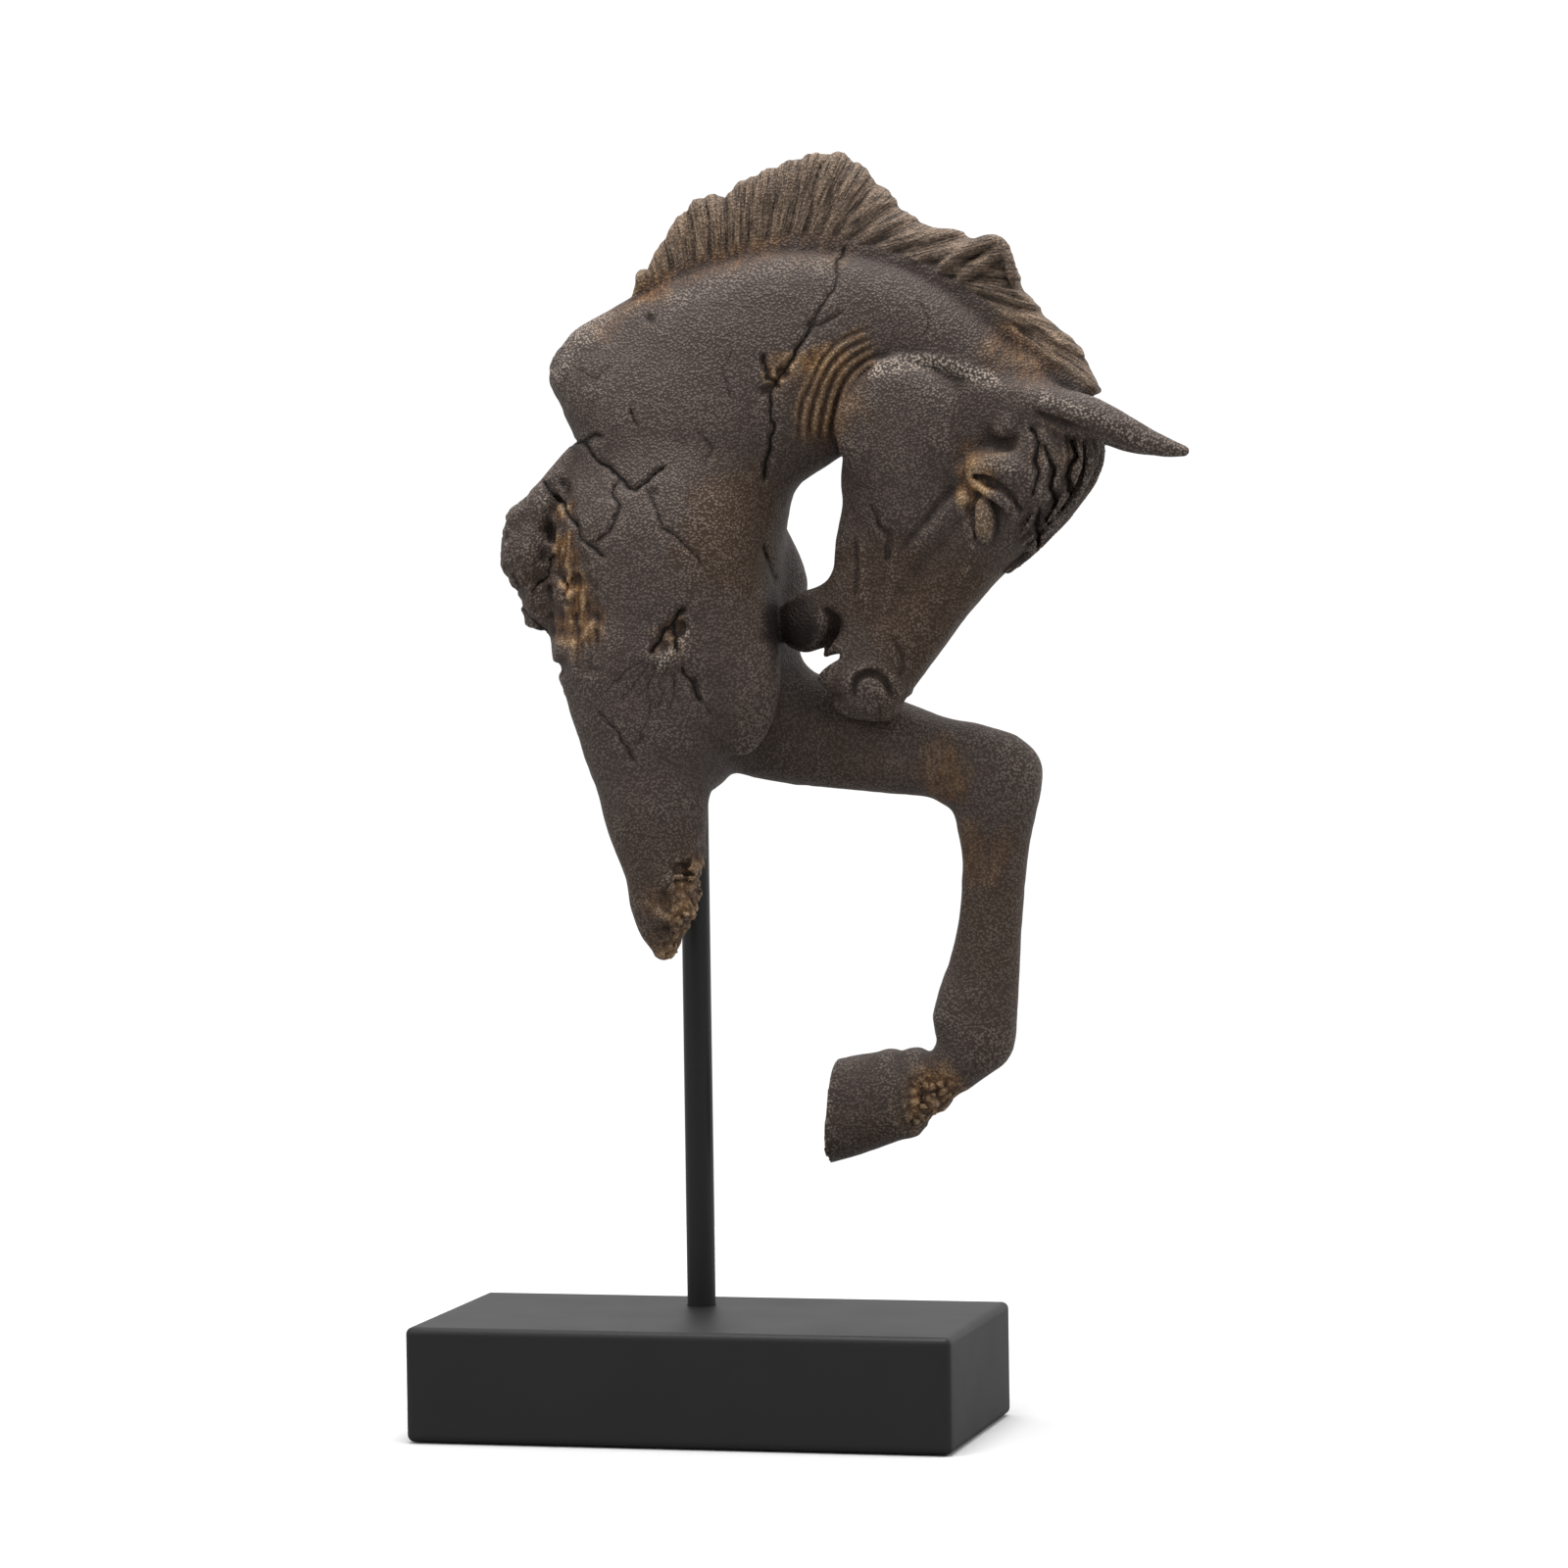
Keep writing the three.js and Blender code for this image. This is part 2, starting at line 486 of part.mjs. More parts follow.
const earHollow = cord(readings(EAR_SLIT.path, NEAR_EAR_Y - EAR_SLIT.before), EAR_SLIT.thick);
const strands = FORELOCK.map(({ off, thick, path }) => (
  taperedCord(readings(path, MIDDLE + off), 3, [thick, thick * 0.5])
));
function head(x, y, z) {
  const side = folded(y);
  let d = bareHead(x, y, z);
  if (d > FACE_REACH) return d;
  for (const { shape, width } of sunk) d = cut(d, shape(x, side, z), width);
  for (const { shape, width } of raised) d = join(d, shape(x, side, z), width);
  for (const { shape, width } of grooves) d = cut(d, shape(x, side, z), width);
  d = join(d, nostrilBump(x, side, z), JOIN.strand);
  for (const strand of strands) d = join(d, strand(x, y, z), JOIN.strand);
  return d;
}

// Mane: a fin along the crest, with strands cut into it as waves counted round the fan
const fin = limb(
  MANE.map(([x, z, tx, tz]) => [tx, tz, 2 * x - tx, 2 * z - tz, FIN_HALF]),
  MIDDLE,
  { boxy: 3, cap: 0.4 },
);
const fan = FAN.map(([x, z, tx, tz]) => {
  const long = Math.hypot(tx - x, tz - z);
  return { x, z, tx, tz, wx: (tx - x) / long, wz: (tz - z) / long, count: 0 };
});
for (let i = 1; i < fan.length; i++) {
  const [a, b] = [fan[i - 1], fan[i]];
  b.count = a.count + (Math.hypot(b.x - a.x, b.z - a.z) + Math.hypot(b.tx - a.tx, b.tz - a.tz)) / 2;
}
const BELOW_CREST = -30;
function fanPlace(u, w) {
  let right = (u - fan[0].x) * fan[0].wz - (w - fan[0].z) * fan[0].wx;
  for (let i = 0; i < fan.length - 1; i++) {
    const b = fan[i + 1];
    const above = (u - fan[i].x) * fan[i].wx + (w - fan[i].z) * fan[i].wz;
    const next = (u - b.x) * b.wz - (w - b.z) * b.wx;
    if (right >= 0 && next <= 0 && above > BELOW_CREST) {
      const share = right / Math.max(right - next, 1e-6);
      return { place: fan[i].count + (b.count - fan[i].count) * share, above };
    }
    right = next;
  }
  return { place: 0, above: BELOW_CREST };
}
const wave = (t) => Math.abs(Math.sin(Math.PI * t));
function strandRelief(x, y, z) {
  const [u, , w] = reading(x, y, z);
  const { place, above } = fanPlace(u, w);
  return LOCK.high * soft((above + 1.5) / 6) * (wave(place / LOCK.width) - 0.7);
}
const rolled = ROLLED.flatMap(({ thick, path }) => [-1, 1].map((side) => (
  taperedCord(readings(path, MIDDLE + side * ROLLED_APART), 3, [thick * 0.5, thick, thick, thick * 0.6])
)));
const MANE_BOX = { low: [-45, -6, 425], high: [185, 46, 545] };
const MANE_REACH = 8;
const MANE_SKIN = { reach: 5, grow: 0.6 };
function mane(x, y, z) {
  const { low, high } = MANE_BOX;
  const out = Math.max(low[0] - x, x - high[0], low[1] - y, y - high[1], low[2] - z);
  if (out > MANE_REACH) return out;
  let d = fin(x, y, z);
  if (Math.abs(d) < MANE_SKIN.reach) d -= strandRelief(x, y, z) + MANE_SKIN.grow;
  for (const lock of rolled) d = join(d, lock(x, y, z), JOIN.rolled);
  return d;
}

// Surface work: cracks, pits, throat folds and torn lumps are set into the finished form
function toLine(x, z, path) {
  let best = Infinity;
  for (let i = 0; i < path.length - 1; i++) {
    const [ax, az] = path[i];
    const ex = path[i + 1][0] - ax;
    const ez = path[i + 1][1] - az;
    const t = Math.min(Math.max(((x - ax) * ex + (z - az) * ez) / (ex * ex + ez * ez), 0), 1);
    best = Math.min(best, Math.hypot(x - ax - ex * t, z - az - ez * t));
  }
  return best;
}
function damage(u, w) {
  let deep = 0;
  for (const { path, wide, deep: down } of CRACKS) {
    deep = Math.max(deep, down * Math.max(0, 1 - toLine(u, w, path) / wide));
  }
  for (const { at, wide, deep: down } of PITS) {
    deep = Math.max(deep, down * soft(1.4 - Math.hypot(u - at[0], w - at[1]) / wide));
  }
  for (const path of FIBROUS.paths) {
    deep = Math.max(deep, FIBROUS.deep * soft((FIBROUS.half - toLine(u, w, path)) / FIBROUS.fade));
  }
  return deep;
}
function throatFolds(u, w) {
  const ring = Math.hypot(u - FOLDS.at[0], w - FOLDS.at[1]);
  if (ring < FOLDS.from - 4 || ring > FOLDS.to + 4) return 0;
  const turn = THREE.MathUtils.radToDeg(Math.atan2(w - FOLDS.at[1], u - FOLDS.at[0]));
  const angle = turn < -90 ? turn + 360 : turn;
  const across = soft((ring - FOLDS.from + 2) / 4) * soft((FOLDS.to + 2 - ring) / 4);
  const along = soft((angle - FOLDS.start) / 14) * soft((FOLDS.end - angle) / 14);
  return FOLDS.high * across * along * Math.sin(((ring - FOLDS.from) / FOLDS.apart) * 2 * Math.PI);
}
const torn = TORN.map((t) => ({ ...t, centre: atDepth(t.at[0], t.at[1], t.y) }));
function worked(d, x, y, z) {
  if (Math.abs(d) > WORK_DEPTH) return d;
  const nearSide = soft((MIDDLE + NEAR_SIDE.past - y) / NEAR_SIDE.fade);
  const [u, , w] = reading(x, y, z);
  const [sideU, , sideW] = reading(x, folded(y), z);
  let out = d - throatFolds(sideU, sideW);
  if (nearSide > 0) out += nearSide * damage(u, w);
  for (const { centre, reach, high } of torn) {
    const r = Math.hypot(x - centre[0], y - centre[1], z - centre[2]);
    if (r < reach) out -= high * soft((reach - r) / FADE) * lumps(x, y, z, LUMP);
  }
  return out;
}

// The whole horse
function horse(x, y, z) {
  let d = join(bareBody(x, y, z), head(x, y, z), JOIN.head);
  d = join(d, cut(parts.nearEar(x, y, z), earHollow(x, y, z), JOIN.hollow), JOIN.ear);
  d = join(d, parts.farEar(x, y, z), JOIN.ear);
  d = join(d, mane(x, y, z), JOIN.mane);
  return worked(d, x, y, z);
}

// Surface of a distance field: cubes near the surface are split into six tetrahedra each
const LOW = [-112, -34, 98];
const HIGH = [216, 76, 546];
const BLOCK_CELLS = 4;
const BLOCK_REACH = 2.7;
const OFF_ZERO = 0.04;
function surface(field, size) {
  const blocks = [0, 1, 2].map((k) => Math.ceil((HIGH[k] - LOW[k]) / size / BLOCK_CELLS));
  const [nx, ny, nz] = blocks.map((b) => b * BLOCK_CELLS + 1);
  const at = (i, j, k) => (i * ny + j) * nz + k;
  const value = new Float32Array(nx * ny * nz).fill(NaN);
  const half = (BLOCK_CELLS * size) / 2;
  const active = [];
  for (let n = 0; n < blocks[0] * blocks[1] * blocks[2]; n++) {
    const k = n % blocks[2];
    const j = Math.floor(n / blocks[2]) % blocks[1];
    const i = Math.floor(n / blocks[2] / blocks[1]);
    const c = [i, j, k].map((b, axis) => LOW[axis] + (2 * b + 1) * half);
    if (Math.abs(field(...c)) < half * BLOCK_REACH) active.push([i, j, k]);
  }
  const positions = [];
  const faces = [];
  const made = new Map();
  const steps = [[0, 1, 3, 7], [0, 2, 6, 7], [0, 4, 5, 7], [0, 1, 5, 7], [0, 2, 3, 7], [0, 4, 6, 7]];
  const turned = [false, false, false, true, true, true];
  const alone = [[1, 2, 3], [0, 3, 2], [0, 1, 3], [0, 2, 1]];
  const pairs = {
    3: [0, 1, 2, 3], 5: [0, 2, 3, 1], 9: [0, 3, 1, 2], 6: [1, 2, 0, 3], 10: [1, 3, 2, 0], 12: [2, 3, 0, 1],
  };
  const corner = (i, j, k, c) => at(i + (c & 1), j + ((c >> 1) & 1), k + (c >> 2));
  const crossing = (i, j, k, a, b) => {
    const low = Math.min(a, b);
    const high = Math.max(a, b);
    const from = corner(i, j, k, low);
    const key = from * 8 + (high - low);
    let id = made.get(key);
    if (id === undefined) {
      const va = value[from];
      const t = va / (va - value[corner(i, j, k, high)]);
      for (let n = 0; n < 3; n++) {
        const p = (low >> n) & 1;
        const q = (high >> n) & 1;
        positions.push(LOW[n] + ([i, j, k][n] + p + (q - p) * t) * size);
      }
      id = positions.length / 3 - 1;
      made.set(key, id);
    }
    return id;
  };
  const eachIn = ([bi, bj, bk], cells, visit) => {
    for (let n = 0; n < cells ** 3; n++) {
      const i = Math.floor(n / cells / cells);
      const j = Math.floor(n / cells) % cells;
      visit(bi * BLOCK_CELLS + i, bj * BLOCK_CELLS + j, bk * BLOCK_CELLS + (n % cells));
    }
  };
  const measure = (i, j, k) => {
    const n = at(i, j, k);
    if (!Number.isNaN(value[n])) return;
    const v = field(LOW[0] + i * size, LOW[1] + j * size, LOW[2] + k * size);
    value[n] = Math.abs(v) < OFF_ZERO ? OFF_ZERO * (v < 0 ? -1 : 1) : v;
  };
  const addLoop = (ids, back) => {
    for (let m = 2; m < ids.length; m++) {
      faces.push(...(back ? [ids[0], ids[m], ids[m - 1]] : [ids[0], ids[m - 1], ids[m]]));
    }
  };
  const fill = (i, j, k) => steps.forEach((tet, n) => {
    const inside = tet.reduce((m, c, q) => m | (value[corner(i, j, k, c)] < 0 ? 1 << q : 0), 0);
    if (inside === 0 || inside === 15) return;
    const cross = (a, b) => crossing(i, j, k, tet[a], tet[b]);
    if (pairs[inside]) {
      const [a, b, c, d] = pairs[inside];
      addLoop([cross(a, c), cross(a, d), cross(b, d), cross(b, c)], turned[n]);
      return;
    }
    const flip = [7, 11, 13, 14].includes(inside);
    const single = Math.log2(flip ? 15 - inside : inside);
    addLoop(alone[single].map((b) => cross(single, b)), flip !== turned[n]);
  });
  for (const block of active) eachIn(block, BLOCK_CELLS + 1, measure);
  for (const block of active) eachIn(block, BLOCK_CELLS, fill);
  return { positions, faces };
}

// Twice a facet's area, as a vector square to it
function normalOf(a, b, c) {
  const u = b.map((v, k) => v - a[k]);
  const v = c.map((w, k) => w - a[k]);
  return [u[1] * v[2] - u[2] * v[1], u[2] * v[0] - u[0] * v[2], u[0] * v[1] - u[1] * v[0]];
}

// Slides the corners along the surface until the facets are of even shape
const SLIDE = { times: 6, share: 0.7 };
function even({ positions: p, faces: f }) {
  const count = p.length / 3;
  const point = (v) => [p[v], p[v + 1], p[v + 2]];
  for (let n = 0; n < SLIDE.times; n++) {
    const sum = new Float64Array(count * 3);
    const facing = new Float64Array(count * 3);
    const met = new Int32Array(count);
    for (let t = 0; t < f.length; t += 3) {
      const [a, b, c] = [f[t] * 3, f[t + 1] * 3, f[t + 2] * 3];
      const normal = normalOf(point(a), point(b), point(c));
      for (const [v, w] of [[a, b], [b, c], [c, a]]) {
        met[v / 3]++;
        for (let k = 0; k < 3; k++) {
          sum[v + k] += p[w + k] - p[v + k];
          facing[v + k] += normal[k];
        }
      }
    }
    for (let v = 0; v < count; v++) {
      const g = [0, 1, 2].map((k) => facing[3 * v + k]);
      const size = Math.max(Math.hypot(...g), 1e-12);
      const m = [0, 1, 2].map((k) => sum[3 * v + k] / met[v]);
      const off = (m[0] * g[0] + m[1] * g[1] + m[2] * g[2]) / size;
      for (let k = 0; k < 3; k++) p[3 * v + k] += SLIDE.share * (m[k] - (off * g[k]) / size);
    }
  }
  return { positions: p, faces: f };
}

// Keeps the largest closed shell, and drops any bubble sealed inside it
function mainShell({ positions, faces }) {
  const owner = Int32Array.from({ length: positions.length / 3 }, (_, i) => i);
  const root = (v) => {
    let r = v;
    while (owner[r] !== r) r = owner[r] = owner[owner[r]];
    return r;
  };
  for (let t = 0; t < faces.length; t += 3) {
    owner[root(faces[t + 1])] = root(faces[t]);
    owner[root(faces[t + 2])] = root(faces[t]);
  }
  const size = new Map();
  for (let t = 0; t < faces.length; t += 3) {
    const shell = root(faces[t]);
    size.set(shell, (size.get(shell) || 0) + 1);
  }
  const main = [...size].sort((a, b) => b[1] - a[1])[0][0];
  return { positions, faces: faces.filter((_, i) => root(faces[i - (i % 3)]) === main) };
}

// Waiting list that gives the cheapest entry first
class Queue {
  heap = [];

  get length() {
    return this.heap.length;
  }

  add(entry) {
    const { heap } = this;
    let i = heap.push(entry) - 1;
    while (i > 0) {
      const up = (i - 1) >> 1;
      if (heap[up].cost <= entry.cost) break;
      heap[i] = heap[up];
      i = up;
    }
    heap[i] = entry;
  }

  take() {
    const { heap } = this;
    const top = heap[0];
    const entry = heap.pop();
    if (!heap.length) return top;
    let i = 0;
    for (let c = 1; c < heap.length; c = 2 * i + 1) {
      if (c + 1 < heap.length && heap[c + 1].cost < heap[c].cost) c++;
      if (heap[c].cost >= entry.cost) break;
      heap[i] = heap[c];
      i = c;
    }
    heap[i] = entry;
    return top;
  }
}

// Brings the facets down to a number by joining the two ends of the edge that changes the form least
const THIN = {
  turn: 0.2, sliver: 0.04, allowed: 0.06, flat: 1e-4, reach: 1.2, short: 2e-4, recall: 0.8, tries: 20,
};
function simplify({ positions: p, faces: f }, wanted) {
  const count = p.length / 3;
  const around = Array.from({ length: count }, () => new Set());
  const quadric = new Float64Array(count * 10);
  const alive = new Uint8Array(f.length / 3).fill(1);
  const version = new Int32Array(count);
  const point = (v) => [p[3 * v], p[3 * v + 1], p[3 * v + 2]];
  for (let t = 0; t < alive.length; t++) {
    const ids = [f[3 * t], f[3 * t + 1], f[3 * t + 2]];
    const n = normalOf(...ids.map(point));
    const area = Math.hypot(...n);
    const [a, b, c] = n.map((v) => v / Math.max(area, 1e-12));
    const o = point(ids[0]);
    const d = -(a * o[0] + b * o[1] + c * o[2]);
    const q = [a * a, a * b, a * c, a * d, b * b, b * c, b * d, c * c, c * d, d * d];
    for (const v of ids) {
      around[v].add(t);
      for (let k = 0; k < 10; k++) quadric[v * 10 + k] += q[k] * area;
    }
  }
  const queue = new Queue();
  const consider = (a, b) => {
    const q = [];
    for (let k = 0; k < 10; k++) q.push(quadric[a * 10 + k] + quadric[b * 10 + k]);
    const pa = point(a);
    const pb = point(b);
    const mid = pa.map((v, k) => (v + pb[k]) / 2);
    const span = Math.hypot(pa[0] - pb[0], pa[1] - pb[1], pa[2] - pb[2]);
    const m = new THREE.Matrix3().set(q[0], q[1], q[2], q[1], q[4], q[5], q[2], q[5], q[7]);
    const choices = [mid, pa, pb];
    const size = (q[0] + q[4] + q[7]) / 3;
    if (Math.abs(m.determinant()) > THIN.flat * size ** 3) {
      const best = new THREE.Vector3(-q[3], -q[6], -q[8]).applyMatrix3(m.invert()).toArray();
      if (Math.hypot(...best.map((v, k) => v - mid[k])) < span * THIN.reach) choices.unshift(best);
    }
    const error = ([x, y, z]) => q[0] * x * x + 2 * q[1] * x * y + 2 * q[2] * x * z + 2 * q[3] * x
      + q[4] * y * y + 2 * q[5] * y * z + 2 * q[6] * y + q[7] * z * z + 2 * q[8] * z + q[9];
    let to = choices[0];
    for (const c of choices) if (error(c) < error(to) - 1e-9) to = c;
    const cost = error(to) + THIN.short * span ** 3;
    queue.add({ cost, a, b, to, stamp: version[a] + version[b], tries: 0 });
  };
  const neighbours = (v) => {
    const set = new Set();
    for (const t of around[v]) {
      for (let k = 0; k < 3; k++) set.add(f[3 * t + k]);
    }
    set.delete(v);
    return set;
  };
  const spread = (q) => {
    const side = (k) => Math.hypot(...q[k].map((v, n) => v - q[(k + 1) % 3][n]));
    return side(0) ** 2 + side(1) ** 2 + side(2) ** 2;
  };
  const keepsFaces = (v, other, to) => {
    for (const t of around[v]) {
      const ids = [f[3 * t], f[3 * t + 1], f[3 * t + 2]];
      if (ids.includes(other)) continue;
      const before = ids.map(point);
      const after = ids.map((w, k) => (w === v ? to : before[k]));
      const old = normalOf(...before);
      const next = normalOf(...after);
      const a = Math.hypot(...old);
      const b = Math.hypot(...next);
      const shapeBefore = a / spread(before);
      const shapeAfter = b / spread(after);
      const dot = old[0] * next[0] + old[1] * next[1] + old[2] * next[2];
      if (shapeBefore > THIN.sliver && dot < THIN.turn * a * b) return false;
      if (shapeAfter < THIN.allowed && shapeAfter < shapeBefore) return false;
    }
    return true;
  };
  for (let v = 0; v < count; v++) {
    for (const w of neighbours(v)) if (w > v) consider(v, w);
  }
  let left = alive.length;
  let waiting = [];
  let recall = left * THIN.recall;
  while (left > wanted) {
    if (left < recall || !queue.length) {
      if (!queue.length && !waiting.length) break;
      waiting.forEach((e) => queue.add(e));
      waiting = [];
      recall = left * THIN.recall;
    }
    const edge = queue.take();
    const { a, b, to, stamp } = edge;
    if (stamp !== version[a] + version[b] || !around[a].size || !around[b].size) continue;
    const na = neighbours(a);
    if (!na.has(b)) continue;
    let shared = 0;
    for (const w of neighbours(b)) if (na.has(w)) shared++;
    if (shared !== 2 || !keepsFaces(a, b, to) || !keepsFaces(b, a, to)) {
      edge.tries++;
      if (edge.tries < THIN.tries) waiting.push(edge);
      continue;
    }
    for (const t of [...around[b]]) {
      const ids = [f[3 * t], f[3 * t + 1], f[3 * t + 2]];
      if (ids.includes(a)) {
        alive[t] = 0;
        left--;
        for (const v of ids) around[v].delete(t);
      } else {
        for (let k = 0; k < 3; k++) if (ids[k] === b) f[3 * t + k] = a;
        around[a].add(t);
      }
    }
    around[b].clear();
    for (let k = 0; k < 3; k++) p[3 * a + k] = to[k];
    for (let k = 0; k < 10; k++) quadric[a * 10 + k] += quadric[b * 10 + k];
    version[a]++;
    version[b]++;
    for (const w of neighbours(a)) consider(Math.min(a, w), Math.max(a, w));
  }
  const index = [];
  for (let t = 0; t < alive.length; t++) if (alive[t]) index.push(f[3 * t], f[3 * t + 1], f[3 * t + 2]);
  const geometry = new THREE.BufferGeometry();
  geometry.setAttribute("position", new THREE.Float32BufferAttribute(p, 3));
  geometry.setIndex(index);
  return geometry;
}

// Solids and cuts
const wasm = await Module();
wasm.setup();
function solid(geometry) {
  const bareGeometry = geometry.clone();
  bareGeometry.deleteAttribute("normal");
  bareGeometry.deleteAttribute("uv");
  const merged = mergeVertices(bareGeometry.index ? bareGeometry.toNonIndexed() : bareGeometry, 1e-4);
  const mesh = new wasm.Mesh({
    numProp: 3,
    vertProperties: new Float32Array(merged.attributes.position.array),
    triVerts: new Uint32Array(merged.index.array),
  });
  return new wasm.Manifold(mesh);
}
function toGeometry(made) {
  const { vertProperties, triVerts, numProp } = made.getMesh();
  const points = [];
  for (let i = 0; i < vertProperties.length; i += numProp) points.push(...vertProperties.slice(i, i + 3));
  const geometry = new THREE.BufferGeometry();
  geometry.setAttribute("position", new THREE.Float32BufferAttribute(points, 3));
  geometry.setIndex([...triVerts]);
  const flat = geometry.toNonIndexed();
  flat.computeVertexNormals();
  return flat;
}
function upright(radius, bottom, top) {
  const geometry = new THREE.CylinderGeometry(radius, radius, top - bottom, ROD.sides);
  return geometry.rotateX(Math.PI / 2).translate(ROD.x, ROD.y, (bottom + top) / 2);
}
function piece(name, geometry) {
  const mesh = new THREE.Mesh(geometry, new THREE.MeshStandardMaterial(FINISH[name]));
  mesh.name = name;
  return mesh;
}

// The three pieces: cast horse with a blind socket, rod, and block with a blind hole
const SOCKET_FROM = 240;
const ABOVE_BLOCK = 10;
const socket = upright(ROD.radius + CLEARANCE, SOCKET_FROM, ROD.top + CLEARANCE);
const hole = upright(ROD.radius + CLEARANCE, ROD.bottom - CLEARANCE, BLOCK.height + ABOVE_BLOCK);
const block = new RoundedBoxGeometry(BLOCK.length, BLOCK.depth, BLOCK.height, BLOCK.steps, BLOCK.edge)
  .translate(0, 0, BLOCK.height / 2);
const skin = simplify(even(mainShell(surface(horse, GRID))), HORSE_FACETS);

const sculpture = new THREE.Group();
sculpture.add(
  piece("horse", toGeometry(solid(skin).subtract(solid(socket)))),
  piece("rod", upright(ROD.radius, ROD.bottom, ROD.top)),
  piece("base", toGeometry(solid(block).subtract(solid(hole)))),
);
export default sculpture;
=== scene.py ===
# %% [markdown]
# # A weathered horse on a rod and block
# The real thing is one hollow resin casting of a broken horse, with a pebbled charcoal skin and
# rust-gold rubbed into its hollows. A black steel rod carries it on a black painted block.
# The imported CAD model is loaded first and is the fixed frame: every piece here is made in metres,
# in the same frame, and stands where the CAD node stands.

# %% Frame and units
import bpy
import math
import numpy as np
from mathutils import Matrix, Vector


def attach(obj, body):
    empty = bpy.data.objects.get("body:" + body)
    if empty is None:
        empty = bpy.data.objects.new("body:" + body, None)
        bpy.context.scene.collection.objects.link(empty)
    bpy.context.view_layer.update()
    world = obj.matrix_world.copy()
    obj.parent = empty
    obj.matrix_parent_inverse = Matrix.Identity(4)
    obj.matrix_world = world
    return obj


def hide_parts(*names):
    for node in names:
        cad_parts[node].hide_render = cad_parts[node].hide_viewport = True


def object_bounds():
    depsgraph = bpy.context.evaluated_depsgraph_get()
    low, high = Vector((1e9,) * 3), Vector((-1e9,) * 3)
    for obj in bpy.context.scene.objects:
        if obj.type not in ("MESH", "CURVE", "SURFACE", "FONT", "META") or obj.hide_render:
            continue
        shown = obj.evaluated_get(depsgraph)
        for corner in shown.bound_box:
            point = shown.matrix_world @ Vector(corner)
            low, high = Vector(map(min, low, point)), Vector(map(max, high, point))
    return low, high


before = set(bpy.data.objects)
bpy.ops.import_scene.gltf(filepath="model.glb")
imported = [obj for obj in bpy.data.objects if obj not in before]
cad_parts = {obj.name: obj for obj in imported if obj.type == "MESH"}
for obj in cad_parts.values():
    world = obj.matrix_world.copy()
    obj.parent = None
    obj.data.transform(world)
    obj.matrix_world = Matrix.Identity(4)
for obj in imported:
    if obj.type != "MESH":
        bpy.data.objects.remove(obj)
CAD_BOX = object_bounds()
MM = 0.001
FINE_STEP = 1.15
MOST_TRIANGLES = 194_000
print("CAD box in mm:", [[round(c / MM, 1) for c in corner] for corner in CAD_BOX])

# %% [markdown]
# ## How the horse is drawn
# A sculpture has no drawings, so its outline is read from one side, in millimetres, on the upright
# plane through the rod. The eye that sees it stands about two and a half metres away, so a point
# that lies nearer or further than that plane is slid along its sight line to its own depth.
#
# The body could be sculpted by hand or grown from metaballs. A distance field was chosen instead:
# each form is a short function, forms melt together by a set width, and cuts are as easy as joins.

# %% Sight lines
EYE = np.array([632.8, -2376.2, 374.4])
DRAWING_Y = 29.0
MIDDLE = 20.0


def at_depth(x, z, y):
    t = (y - EYE[1]) / (DRAWING_Y - EYE[1])
    return np.array([EYE[0] + (x - EYE[0]) * t, y, EYE[2] + (z - EYE[2]) * t])


def reading(P):
    """Where points show on the drawing plane: x and z."""
    t = (DRAWING_Y - EYE[1]) / (P[:, 1] - EYE[1])
    return EYE[0] + (P[:, 0] - EYE[0]) * t, EYE[2] + (P[:, 2] - EYE[2]) * t


def folded(P):
    """Far-side points moved to the near side, for forms that both sides have."""
    return np.stack([P[:, 0], MIDDLE - np.abs(P[:, 1] - MIDDLE), P[:, 2]], 1)


# %% Joins, cuts and smooth rows
def join(a, b, k):
    h = np.maximum(k - np.abs(a - b), 0) / k
    return np.minimum(a, b) - h * h * k * 0.25


def cut(a, b, k):
    return -join(-a, b, k)


def soft(t):
    c = np.clip(t, 0, 1)
    return c * c * (3 - 2 * c)


def smooth_rows(rows, per):
    """A Catmull-Rom curve through rows of numbers."""
    r = np.asarray(rows, float)
    padded = np.vstack([r[:1], r, r[-1:]])
    out = []
    for i in range(len(r) - 1):
        a, b, c, d = padded[i:i + 4]
        for t in np.arange(per) / per:
            bend = 2 * a - 5 * b + 4 * c - d
            twist = 3 * b - a - 3 * c + d
            out.append(b + 0.5 * t * (c - a + t * (bend + t * twist)))
    out.append(r[-1])
    return np.array(out)


def box_distance(P, low, high):
    return np.maximum(low - P, P - high).max(1)


# %% [markdown]
# ## The kinds of form
# A limb is a sweep: each section runs from one outline point to the opposite one, and has a half
# width across. A mass is an egg for a muscle. A cord is a round strand of changing thickness, for
# locks of hair, eyelids and ridges. Each gives a distance in millimetres, negative inside.

# %% Limb, mass and cord
REACH = 26.0


def section_distance(u, v, w, ru, rv, rw, boxy=2.0):
    a, b, c = np.abs(u) / ru, np.abs(v) / rv, np.abs(w) / rw
    if boxy == 2.0:
        level = np.sqrt(a * a + b * b + c * c)
    else:
        level = (a ** boxy + b ** boxy + c ** boxy) ** (1 / boxy)
    steep = np.sqrt((a / ru) ** 2 + (b / rv) ** 2 + (c / rw) ** 2)
    return np.maximum(level * (level - 1) / np.maximum(steep, 1e-6), -np.minimum(ru, rv))


